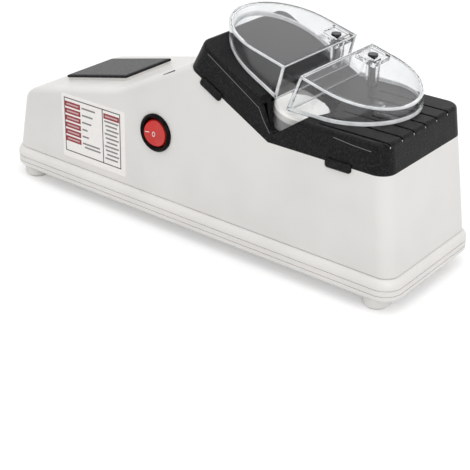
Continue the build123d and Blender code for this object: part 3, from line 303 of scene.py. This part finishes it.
COIL_COPPER = plated_metal("coil_copper", (0.72, 0.33, 0.17), 0.3)
CORE_STEEL = plated_metal("core_steel", (0.33, 0.33, 0.35), 0.42)
TAB_BRASS = plated_metal("tab_brass", (0.72, 0.55, 0.24), 0.3)
NUT_NICKEL = plated_metal("nut_nickel", (0.66, 0.64, 0.6), 0.25)
MAGNET_DARK = abrasive("magnet_dark", (0.05, 0.05, 0.053), (0.09, 0.09, 0.095), 0.6 * MM)
MARK_WHITE = printed("mark_white", (0.82, 0.80, 0.78))
STICKER_WHITE = printed("sticker_white", (0.91, 0.885, 0.86))
STICKER_BLACK = printed("sticker_black", (0.02, 0.02, 0.022))
STICKER_RED = printed("sticker_red", (0.30, 0.022, 0.03))
STICKER_GREY = printed("sticker_grey", (0.22, 0.215, 0.215))
STICKER_PALE = printed("sticker_pale", (0.58, 0.42, 0.42))
# Painted highlight: grey for the light lines along the black cover's rounded edges.
COVER_HIGHLIGHT_GREY = printed("cover_highlight_grey", (0.17, 0.17, 0.175))
# Painted highlight: pale grey for the glints at the ends of the cover's grooves.
GROOVE_GLINT_GREY = printed("groove_glint_grey", (0.62, 0.62, 0.61))

NODE_FINISHES = {
    "upper_housing": SHELL_WHITE,
    "base_tray": TRAY_WHITE,
    "feet": FOOT_WHITE,
    "base_screws": SCREW_STEEL,
    "stone_tray": FRAME_BLACK,
    "honing_stone": STONE_GREY,
    "switch_bezel": SWITCH_BLACK,
    "switch_rocker": ROCKER_RED,
    "switch_body": SWITCH_BLACK,
    "switch_terminals": TAB_BRASS,
    "dc_jack": SWITCH_BLACK,
    "dc_jack_nut": NUT_NICKEL,
    "top_cover": COVER_BLACK,
    "guard_left": GUARD_CLEAR,
    "guard_right": GUARD_CLEAR,
    "guard_screws": SCREW_DARK,
    "grinding_wheel": WHEEL_WHITE,
    "wheel_hub": HUB_GREY,
    "motor_shaft": SHAFT_STEEL,
    "motor_can": CAN_ZINC,
    "motor_end_cap": SWITCH_BLACK,
    "motor_bushings": BUSH_BRONZE,
    "motor_magnets": MAGNET_DARK,
    "rotor_core": CORE_STEEL,
    "rotor_windings": COIL_COPPER,
    "commutator": COIL_COPPER,
    "motor_bracket": BRACKET_STEEL,
    "bracket_screws": SCREW_STEEL,
    "motor_screws": SCREW_STEEL,
}


def dress_nodes():
    """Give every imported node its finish."""
    for name, finish in NODE_FINISHES.items():
        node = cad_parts[name]
        node.data.materials.clear()
        node.data.materials.append(finish.material)


# ---------------------------------------------------------------------------------------------
# Mesh building
# ---------------------------------------------------------------------------------------------
def new_object(name, work, finish):
    """Turn a bmesh into an object that wears a finish."""
    mesh = bpy.data.meshes.new(name)
    work.to_mesh(mesh)
    work.free()
    made = bpy.data.objects.new(name, mesh)
    bpy.context.scene.collection.objects.link(made)
    mesh.materials.append(finish.material)
    return made


def new_piece(name, work, finish, body):
    """Turn a bmesh into a piece of the sharpener that rides on a body."""
    piece = new_object(name, work, finish)
    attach(piece, body)


def placement(right, up, out, place):
    """Placement whose x, y and z run along right, up and out."""
    placed = Matrix((right, up, out)).transposed().to_4x4()
    placed.translation = place
    return placed


def front_wall(x, z):
    """Placement on the front wall: x to the right, y up the wall, z out of it."""
    out = Vector((0, -math.cos(SIDE_DRAFT), math.sin(SIDE_DRAFT)))
    right = Vector((1, 0, 0))
    y = -(HALF_WIDTH - (z - JOINT_Z) * math.tan(SIDE_DRAFT))
    return placement(right, out.cross(right), out, Vector((x, y, z)))


def rectangle(x_from, x_to, y_from, y_to):
    """Outline of a rectangle, anticlockwise."""
    return [(x_from, y_from), (x_to, y_from), (x_to, y_to), (x_from, y_to)]


def rounded_rectangle(x_from, x_to, y_from, y_to, radius, steps=5):
    """Outline of a rectangle with round corners, anticlockwise."""
    outline = []
    corners = (
        (x_to - radius, y_from + radius, -90),
        (x_to - radius, y_to - radius, 0),
        (x_from + radius, y_to - radius, 90),
        (x_from + radius, y_from + radius, 180),
    )
    for x, y, start in corners:
        for index in range(steps + 1):
            angle = math.radians(start + 90 * index / steps)
            outline.append((x + radius * math.cos(angle), y + radius * math.sin(angle)))
    return outline


def ribbon(points, width):
    """Outline of a narrow band along a line of points."""
    near = []
    far = []
    for index, (x, y) in enumerate(points):
        before = Vector(points[max(index - 1, 0)])
        after = Vector(points[min(index + 1, len(points) - 1)])
        along = (after - before).normalized() * width / 2
        near.append((x + along.y, y - along.x))
        far.append((x - along.y, y + along.x))
    return near + far[::-1]


def add_slab(work, outline, low, high, placed):
    """Add a closed slab with a flat outline between two heights of a placement."""
    bottom = [work.verts.new(placed @ Vector((x, y, low))) for x, y in outline]
    top = [work.verts.new(placed @ Vector((x, y, high))) for x, y in outline]
    work.faces.new(reversed(bottom))
    work.faces.new(top)
    count = len(outline)
    for index in range(count):
        after = (index + 1) % count
        work.faces.new((bottom[index], bottom[after], top[after], top[index]))


def add_ring(work, centre, inner, outer, squeeze, half_height, placed, steps=28):
    """Add a flat ring about a centre, drawn in along x by squeeze."""
    x, y = centre
    corners = ((inner, -half_height), (outer, -half_height), (outer, half_height), (inner, half_height))
    loops = []
    for radius, height in corners:
        loop = []
        for index in range(steps):
            angle = 2 * math.pi * index / steps
            reach = radius * math.cos(angle) * squeeze
            point = Vector((x + reach, y + radius * math.sin(angle), height))
            loop.append(work.verts.new(placed @ point))
        loops.append(loop)
    for low, high in zip(loops, loops[1:] + loops[:1]):
        for index in range(steps):
            after = (index + 1) % steps
            work.faces.new((low[index], low[after], high[after], high[index]))


def add_bar(work, lines):
    """Add a closed bar whose four long edges are the given lines."""
    loops = [[work.verts.new(point) for point in line] for line in lines]
    count = len(loops[0])
    for near, far in zip(loops, loops[1:] + loops[:1]):
        for index in range(count - 1):
            work.faces.new((near[index], near[index + 1], far[index + 1], far[index]))
    work.faces.new([loop[0] for loop in reversed(loops)])
    work.faces.new([loop[-1] for loop in loops])


# ---------------------------------------------------------------------------------------------
# Sticker on the front wall: a plain ruled card with coloured cells and no words
# ---------------------------------------------------------------------------------------------
CARD_LEFT, CARD_RIGHT = -88.6 * MM, -39.6 * MM
CARD_LOW, CARD_HIGH = 23.6 * MM, 61.4 * MM
CARD_CORNER = 1.0 * MM
CARD_MIDDLE = ((CARD_LEFT + CARD_RIGHT) / 2, (CARD_LOW + CARD_HIGH) / 2)
CARD_TOP = 0.12 * MM  # these three are heights over the wall
PRINT_TOP = 0.16 * MM
STRIPE_TOP = 0.18 * MM

FRAME_LEFT, FRAME_RIGHT = -86.6 * MM, -43.0 * MM
FRAME_LOW, FRAME_HIGH = 27.2 * MM, 59.4 * MM
FRAME_LINE = 0.55 * MM
DIVIDER_X = -56.5 * MM

CELL_COUNT = 6
CELL_LEFT = FRAME_LEFT + FRAME_LINE
CELL_RIGHT = CELL_LEFT + 12.2 * MM
CELL_HEIGHT = 3.1 * MM
CELL_PITCH = 4.15 * MM
CELL_TOP = 57.2 * MM
HEADING_LEFT = DIVIDER_X + FRAME_LINE * 1.5
HEADING_RIGHT = FRAME_RIGHT - FRAME_LINE * 1.5

STRIPE_HEIGHT = 0.9 * MM
STRIPE_INSET = 1.4 * MM
HEADING_STRIPE = (HEADING_LEFT + 1.2 * MM, FRAME_RIGHT - 2.0 * MM)

RULE_HEIGHT = 0.95 * MM
RULE_LEFT = CELL_RIGHT + 1.2 * MM
RULE_ROOM = DIVIDER_X - 1.6 * MM - RULE_LEFT
RULE_SHARES = (0.72, 0.58, 0.5, 0.28, 0.34, 0.92)  # of the room, one beside each cell
LAST_RULE_INDENT = 1.5 * MM  # the rule under the cells
LAST_RULE_SHARE = 0.95

COLUMN_COUNT = 10  # rules under the heading
COLUMN_PITCH = 2.42 * MM
COLUMN_TOP = CELL_TOP - CELL_HEIGHT - 1.9 * MM
COLUMN_INDENTS = (0.6 * MM, 1.3 * MM, 2.0 * MM)  # by turns, from the heading's left end
COLUMN_ENDS = (1.4 * MM, 2.5 * MM)  # by turns, from the frame's right side


def on_card(x, z):
    """A point of the front wall, given by its x and its height, in the card's own plane."""
    return (x - CARD_MIDDLE[0], (z - CARD_MIDDLE[1]) / math.cos(SIDE_DRAFT))


def add_print(work, x_from, x_to, z_from, z_to, base=CARD_TOP, top=PRINT_TOP):
    """Add one printed bar that lies on the card, or on the print when base says so."""
    x_low, y_low = on_card(x_from, z_from)
    x_high, y_high = on_card(x_to, z_to)
    outline = rectangle(x_low, x_high, y_low, y_high)
    add_slab(work, outline, base, top, front_wall(*CARD_MIDDLE))


def row_low(index, height):
    """Low side of a bar of some height that lies in the middle of a row of cells."""
    return CELL_TOP - (CELL_HEIGHT + height) / 2 - index * CELL_PITCH


def sticker_card():
    work = bmesh.new()
    x_low, y_low = on_card(CARD_LEFT, CARD_LOW)
    x_high, y_high = on_card(CARD_RIGHT, CARD_HIGH)
    outline = rounded_rectangle(x_low, x_high, y_low, y_high, CARD_CORNER)
    add_slab(work, outline, 0.0, CARD_TOP, front_wall(*CARD_MIDDLE))
    new_piece("sticker_card", work, STICKER_WHITE, "housing")


def sticker_frame():
    """The ruled frame and the line that divides it."""
    work = bmesh.new()
    low, high = FRAME_LOW + FRAME_LINE, FRAME_HIGH - FRAME_LINE
    add_print(work, FRAME_LEFT, FRAME_RIGHT, FRAME_LOW, low)
    add_print(work, FRAME_LEFT, FRAME_RIGHT, high, FRAME_HIGH)
    for left in (FRAME_LEFT, FRAME_RIGHT - FRAME_LINE, DIVIDER_X - FRAME_LINE / 2):
        add_print(work, left, left + FRAME_LINE, low, high)
    new_piece("sticker_frame", work, STICKER_BLACK, "housing")


def sticker_cells():
    """The red cells down the left side, and the red heading of the right column."""
    work = bmesh.new()
    for index in range(CELL_COUNT):
        top = CELL_TOP - index * CELL_PITCH
        add_print(work, CELL_LEFT, CELL_RIGHT, top - CELL_HEIGHT, top)
    add_print(work, HEADING_LEFT, HEADING_RIGHT, CELL_TOP - CELL_HEIGHT, CELL_TOP)
    new_piece("sticker_cells", work, STICKER_RED, "housing")


def sticker_stripes():
    """A plain pale stripe on each red cell and on the heading."""
    work = bmesh.new()
    stripes = [(CELL_LEFT + STRIPE_INSET, CELL_RIGHT - STRIPE_INSET, row) for row in range(CELL_COUNT)]
    stripes.append((*HEADING_STRIPE, 0))
    for left, right, row in stripes:
        low = row_low(row, STRIPE_HEIGHT)
        add_print(work, left, right, low, low + STRIPE_HEIGHT, PRINT_TOP, STRIPE_TOP)
    new_piece("sticker_stripes", work, STICKER_PALE, "housing")


def sticker_rules():
    """Plain grey rules beside the cells and under the heading."""
    work = bmesh.new()
    for index, share in enumerate(RULE_SHARES):
        low = row_low(index, RULE_HEIGHT)
        add_print(work, RULE_LEFT, RULE_LEFT + RULE_ROOM * share, low, low + RULE_HEIGHT)
    low = CELL_TOP - CELL_PITCH * CELL_COUNT
    right = RULE_LEFT + RULE_ROOM * LAST_RULE_SHARE
    add_print(work, RULE_LEFT + LAST_RULE_INDENT, right, low, low + RULE_HEIGHT)
    for index in range(COLUMN_COUNT):
        low = COLUMN_TOP - index * COLUMN_PITCH
        left = HEADING_LEFT + COLUMN_INDENTS[index % len(COLUMN_INDENTS)]
        right = FRAME_RIGHT - COLUMN_ENDS[index % len(COLUMN_ENDS)]
        add_print(work, left, right, low, low + RULE_HEIGHT)
    new_piece("sticker_rules", work, STICKER_GREY, "housing")


# ---------------------------------------------------------------------------------------------
# Marks on the rocker
# ---------------------------------------------------------------------------------------------
SWITCH_CENTRE = (-16.7 * MM, 55.9 * MM)  # x and z on the front wall
ROCKER_TILT = math.radians(9.0)
ROCKER_PIVOT = -2.5 * MM
FACE_AT_CENTRE = 1.2 * MM
MARK_LIFT = 0.06 * MM  # half the thickness of a mark
DASH_SIZE = (2.4 * MM, 0.4 * MM)
DASH_PLACE = (-4.8 * MM, 0.3 * MM)
RING_PLACE = (-1.1 * MM, -0.6 * MM)
RING_RADII = (1.0 * MM, 1.45 * MM)
RING_SQUEEZE = 0.6


def rocker_marks():
    """The dash and the ring, laid on the raised half of the rocker's face."""
    to_pivot = Matrix.Translation((0, 0, ROCKER_PIVOT))
    tilt = Matrix.Rotation(ROCKER_TILT, 4, "Y")
    tipped = front_wall(*SWITCH_CENTRE) @ to_pivot @ tilt @ to_pivot.inverted()
    placed = tipped @ Matrix.Translation((0, 0, FACE_AT_CENTRE)) @ tilt
    work = bmesh.new()
    x, y = DASH_PLACE
    half_length, half_width = DASH_SIZE[0] / 2, DASH_SIZE[1] / 2
    dash = rectangle(x - half_length, x + half_length, y - half_width, y + half_width)
    add_slab(work, dash, -MARK_LIFT, MARK_LIFT, placed)
    add_ring(work, RING_PLACE, *RING_RADII, RING_SQUEEZE, MARK_LIFT, placed)
    new_piece("rocker_marks", work, MARK_WHITE, "rocker")


# ---------------------------------------------------------------------------------------------
# Thin dark strip on the ramp's rounded front edge, close to the cover: a painted shadow for the shade
# in a narrow notch there
# ---------------------------------------------------------------------------------------------
GAP_SHADOW_PLACE = (-9.0 * MM, -33.66 * MM, 90.2 * MM)
GAP_SHADOW_OUT = (-0.352, -0.589, 0.727)  # out of the rounded edge
GAP_SHADOW_SIZE = (10.4 * MM, 0.6 * MM)
GAP_SHADOW_END = 0.27 * MM  # radius of its ends
GAP_SHADOW_DEPTHS = (-0.2 * MM, 0.12 * MM)


def gap_shadow_strip():
    along = Vector((math.cos(RAMP_SLOPE), 0, math.sin(RAMP_SLOPE)))
    across = Vector(GAP_SHADOW_OUT).cross(along).normalized()
    placed = placement(along, across, along.cross(across), GAP_SHADOW_PLACE)
    half_length, half_width = GAP_SHADOW_SIZE[0] / 2, GAP_SHADOW_SIZE[1] / 2
    outline = rounded_rectangle(-half_length, half_length, -half_width, half_width, GAP_SHADOW_END)
    work = bmesh.new()
    add_slab(work, outline, *GAP_SHADOW_DEPTHS, placed)
    # The black strip is a painted shadow of the narrow notch by the cover.
    new_piece("gap_shadow_strip", work, STICKER_BLACK, "housing")


# ---------------------------------------------------------------------------------------------
# Painted highlights: light lines on the front of the black cover's skirt, where its rounded top edges
# catch the light, as x and z
# ---------------------------------------------------------------------------------------------
UPPER_HIGHLIGHT = (
    (18.4 * MM, 106.5 * MM),
    (51.0 * MM, 86.6 * MM),
    (54.2 * MM, 80.6 * MM),
    (58.0 * MM, 75.2 * MM),
)
LOWER_HIGHLIGHT = (
    (95.0 * MM, 83.0 * MM),
    (106.0 * MM, 81.9 * MM),
    (116.0 * MM, 81.5 * MM),
)
HIGHLIGHT_WIDTH = 0.3 * MM
HIGHLIGHT_DEPTHS = (-0.1 * MM, 0.05 * MM)


def cover_edge_highlights():
    work = bmesh.new()
    for line in (UPPER_HIGHLIGHT, LOWER_HIGHLIGHT):
        x0, z0 = line[0]
        flat = [(x - x0, (z - z0) / math.cos(SIDE_DRAFT)) for x, z in line]
        add_slab(work, ribbon(flat, HIGHLIGHT_WIDTH), *HIGHLIGHT_DEPTHS, front_wall(x0, z0))
    # The grey strips are painted highlights along the cover's rounded edges.
    new_piece("cover_edge_highlights", work, COVER_HIGHLIGHT_GREY, "head")


# ---------------------------------------------------------------------------------------------
# Ends of the cover's grooves: cheeks that narrow each nick, and a pale bead in it that is a painted
# highlight, the glint at the groove's end
# ---------------------------------------------------------------------------------------------
GROOVE_COUNT = 6
GROOVE_PITCH = 10.3 * MM
FIRST_GROOVE_Y = -30.7 * MM
NICK_X = 120.36 * MM
NICK_FLOOR = 83.32 * MM
NICK_HALF = 1.38 * MM
CHANNEL_HALF = 0.6 * MM  # what the cheeks leave open
EDGE_CENTRE = (121.58 * MM, 83.5 * MM)  # of the cover's rounded top edge, x and z
EDGE_RADIUS = 1.95 * MM
EDGE_STEPS = 9
GLINT_SIZE = (0.7 * MM, 0.8 * MM, 0.75 * MM)
GLINT_X = 122.6 * MM


def cheek_profile():
    """Outline of a cheek as x and z: it fills the nick up to the cover's rounded edge."""
    x, z = EDGE_CENTRE
    profile = [(NICK_X, NICK_FLOOR)]
    for index in range(EDGE_STEPS + 1):
        angle = math.pi / 2 * index / EDGE_STEPS
        profile.append((x + EDGE_RADIUS * math.cos(angle), z + EDGE_RADIUS * math.sin(angle)))
    profile.append((NICK_X, z + EDGE_RADIUS))
    return profile


def groove_ends():
    upright = Matrix.Rotation(math.pi / 2, 4, "X")
    profile = cheek_profile()
    cheeks = bmesh.new()
    glint_work = bmesh.new()
    depth, width, height = GLINT_SIZE
    for index in range(GROOVE_COUNT):
        y = FIRST_GROOVE_Y + index * GROOVE_PITCH
        for low, high in ((-NICK_HALF, -CHANNEL_HALF), (CHANNEL_HALF, NICK_HALF)):
            add_slab(cheeks, profile, -(y + high), -(y + low), upright)
        # A pale bead at each groove's end: painted highlight for the glint there.
        glint_outline = rounded_rectangle(GLINT_X, GLINT_X + depth, y - width / 2, y + width / 2, width / 4)
        add_slab(glint_work, glint_outline, NICK_FLOOR, NICK_FLOOR + height, Matrix())
    new_piece("groove_cheeks", cheeks, COVER_BLACK, "head")
    new_piece("groove_end_glints", glint_work, GROOVE_GLINT_GREY, "head")


# ---------------------------------------------------------------------------------------------
# Painted highlights of the clear guard: pale bars that lie just inside its walls and stand for light
# caught in its thick rims and edges
# ---------------------------------------------------------------------------------------------
GUARD_CENTRE = (62.2 * MM, 3.5 * MM)
GUARD_RADIUS = 31.0 * MM
GUARD_SPREAD = 42.6 * MM  # between the middles of the two round ends
GUARD_WALL = 1.8 * MM
LID_HEIGHT = 107.4 * MM  # over the middle of the guard
LID_THICKNESS = 2.0 * MM
LID_SLOPE = math.radians(15.1)
COVER_TOP = 85.5 * MM
COVER_RIDGE = (12.83 * MM, 112.29 * MM)  # x and z of the cover's high end

EDGE_INSET = 0.2 * MM  # from the clear wall's own face
EDGE_WIDTH = 0.75 * MM
RIM_BAND = (-1.2 * MM, -0.525 * MM)  # from the lid's top
RIM_DEPTH = 0.45 * MM
LEDGE_BAND = (-LID_THICKNESS - 0.15 * MM, -LID_THICKNESS + 0.45 * MM)  # from the lid's top
LEDGE_INSET = GUARD_WALL - 0.6 * MM
LEDGE_DEPTH = 0.525 * MM
FOOT_BAND = (EDGE_INSET, 1.9 * MM)  # from the cover
FOOT_DEPTH = GUARD_WALL * 0.7
SLOT_FOOT_BAND = (EDGE_INSET, 1.05 * MM)  # from the cover
UPRIGHT_DEPTH = 1.2 * MM
ARC_STEPS = 28
MEETING_TRIES = 20


def lid_at(x):
    """Height of the guard's lid."""
    return LID_HEIGHT - (x - GUARD_CENTRE[0]) * math.tan(LID_SLOPE)


def cover_at(x):
    """Height of the black cover under the guard."""
    return max(COVER_TOP, COVER_RIDGE[1] - (x - COVER_RIDGE[0]) * math.tan(RAMP_SLOPE))


class GuardHalf:
    """One half of the clear guard. side is -1 for the left half and 1 for the right one."""

    def __init__(self, side, slot_foot, slot_lean):
        self.side = side
        self.foot_x, self.foot_z = slot_foot
        self.lean = math.tan(slot_lean)
        self.centre_x = GUARD_CENTRE[0] + side * GUARD_SPREAD / 2

    def slot_x(self, z, inset):
        """Place on X at a height, so far inside the slot wall's face."""
        return self.foot_x + (z - self.foot_z) * self.lean + self.side * inset

    def meeting_x(self, height_at, inset):
        """Where height_at(x) meets the slot wall, found by going to and fro between them."""
        x = self.centre_x
        for _ in range(MEETING_TRIES):
            x = self.slot_x(height_at(x), inset)
        return x

    def wall_line(self, height_at, inset):
        """Line along the outer wall from one end of the slot to the other, at height_at(x)."""
        radius = GUARD_RADIUS - inset
        end_x = self.meeting_x(height_at, inset)
        middle_y = GUARD_CENTRE[1]
        points = [(end_x, middle_y + radius)]
        for index in range(ARC_STEPS + 1):
            angle = math.pi / 2 - self.side * math.pi * index / ARC_STEPS
            x = self.centre_x + radius * math.cos(angle)
            points.append((x, middle_y + radius * math.sin(angle)))
        points.append((end_x, middle_y - radius))
        return [Vector((x, y, height_at(x))) for x, y in points]

    def add_wall_bar(self, work, height_at, band, inset, depth):
        """Bar inside the outer wall, whose low and high sides are a band above height_at(x)."""
        low, high = band
        lines = []
        for rise, extra in ((low, 0.0), (high, 0.0), (high, depth), (low, depth)):
            lines.append(self.wall_line(lambda x, rise=rise: height_at(x) + rise, inset + extra))
        add_bar(work, lines)

    def add_slot_bar(self, work, base_z, band, depth):
        """Straight bar along Y inside the slot wall, in a band above a height."""
        low, high = base_z + band[0], base_z + band[1]
        reach = GUARD_RADIUS - EDGE_WIDTH
        lines = []
        for z, extra in ((low, 0.0), (high, 0.0), (high, depth), (low, depth)):
            x = self.slot_x(z, EDGE_INSET + extra)
            lines.append([Vector((x, GUARD_CENTRE[1] + end * reach, z)) for end in (1, -1)])
        add_bar(work, lines)

    def add_upright(self, work, end, low, high):
        """Bar that stands in the corner between the slot wall and the outer wall."""
        lines = []
        for across, along in rectangle(0.0, EDGE_WIDTH, 0.0, UPRIGHT_DEPTH):
            y = GUARD_CENTRE[1] + end * (GUARD_RADIUS - EDGE_INSET - across)
            lines.append([Vector((self.slot_x(z, EDGE_INSET + along), y, z)) for z in (low, high)])
        add_bar(work, lines)

    def edges(self, name):
        """All the painted rim highlights of the half, as one piece."""
        work = bmesh.new()
        self.add_wall_bar(work, lid_at, RIM_BAND, EDGE_INSET, RIM_DEPTH)
        self.add_wall_bar(work, lid_at, LEDGE_BAND, LEDGE_INSET, LEDGE_DEPTH)
        self.add_wall_bar(work, cover_at, FOOT_BAND, EDGE_INSET, FOOT_DEPTH)
        lid_z = lid_at(self.meeting_x(lid_at, 0.0))
        foot_z = cover_at(self.foot_x)
        self.add_slot_bar(work, lid_z, RIM_BAND, RIM_DEPTH)
        self.add_slot_bar(work, foot_z, SLOT_FOOT_BAND, EDGE_WIDTH)
        for end in (1, -1):
            self.add_upright(work, end, foot_z + EDGE_WIDTH, lid_z - EDGE_WIDTH)
        bmesh.ops.recalc_face_normals(work, faces=work.faces)
        new_piece(name, work, GUARD_RIM_HIGHLIGHT, "head")


GUARD_LEFT = GuardHalf(-1, (55.2 * MM, 89.2 * MM), math.radians(15.2))
GUARD_RIGHT = GuardHalf(1, (61.6 * MM, 85.7 * MM), math.radians(22.5))


# ---------------------------------------------------------------------------------------------
# Floor, light and camera
# ---------------------------------------------------------------------------------------------
CAMERA_PLACE = (0.3706, -0.4482, 0.2944)
CAMERA_AZIMUTH = math.radians(39.0)
CAMERA_ELEVATION = math.radians(28.0)
CAMERA_LENS = 88.32
CAMERA_SENSOR = 36.0
CAMERA_NEAR = 0.01
FLOOR_SIZE = 4.0
FLOOR_GREY = 0.80
SEEN_BOOST = 0.30  # light that the floor adds for seen rays only
WORLD_STRENGTH = 0.72  # for the object; seen rays get 1
LAMPS = {
    "over": {"place": (0.1, -0.1, 0.9), "aim": (0.0, 0.0, 0.05), "width": 0.9, "power": 3.2},
    "right_front": {"place": (0.9, -0.6, 0.5), "aim": (0.0, 0.0, 0.06), "width": 0.7, "power": 2.4},
}


def floor():
    """Plain pale floor that keeps the sharpener's shadow."""
    work = bmesh.new()
    half = FLOOR_SIZE / 2
    work.faces.new([work.verts.new((x, y, 0.0)) for x, y in rectangle(-half, half, -half, half)])
    finish = Finish("floor_white", Roughness=1.0, Specular_IOR_Level=0.0, Emission_Strength=1.0)
    boost = finish.blend(finish.seen_rays(), grey(0.0), grey(SEEN_BOOST))
    finish.set(Base_Color=grey(FLOOR_GREY), Emission_Color=boost)
    ground = new_object("floor", work, finish)


def sky():
    """Even white light from all round, and a white background."""
    world = bpy.data.worlds.new("studio")
    bpy.context.scene.world = world
    world.use_nodes = True
    shading = Shading(world.node_tree)
    background = world.node_tree.nodes["Background"]
    strength = shading.seen_rays() * (1.0 - WORLD_STRENGTH) + WORLD_STRENGTH
    shading.feed(background.inputs["Color"], grey(1.0))
    shading.feed(background.inputs["Strength"], strength)


def lamp(name, place, aim, width, power):
    """Square soft lamp that faces its aim."""
    light = bpy.data.lights.new(name, "AREA")
    light.shape = "RECTANGLE"
    light.size = width
    light.size_y = width
    light.energy = power
    holder = bpy.data.objects.new(name, light)
    bpy.context.scene.collection.objects.link(holder)
    holder.location = place
    holder.rotation_mode = "QUATERNION"
    holder.rotation_quaternion = (Vector(aim) - Vector(place)).to_track_quat("-Z", "Y")


def camera():
    view = bpy.data.cameras.new("camera")
    view.sensor_width = CAMERA_SENSOR
    view.lens = CAMERA_LENS
    view.clip_start = CAMERA_NEAR
    holder = bpy.data.objects.new("camera", view)
    bpy.context.scene.collection.objects.link(holder)
    holder.location = CAMERA_PLACE
    holder.rotation_euler = (math.pi / 2 - CAMERA_ELEVATION, 0.0, CAMERA_AZIMUTH)
    bpy.context.scene.camera = holder


dress_nodes()
sticker_card()
sticker_frame()
sticker_cells()
sticker_stripes()
sticker_rules()
rocker_marks()
gap_shadow_strip()
cover_edge_highlights()
groove_ends()
GUARD_LEFT.edges("guard_left_rim_highlights")
GUARD_RIGHT.edges("guard_right_rim_highlights")
floor()
sky()
for lamp_name, settings in LAMPS.items():
    lamp(lamp_name, **settings)
camera()
bpy.context.scene.view_settings.view_transform = "Standard"
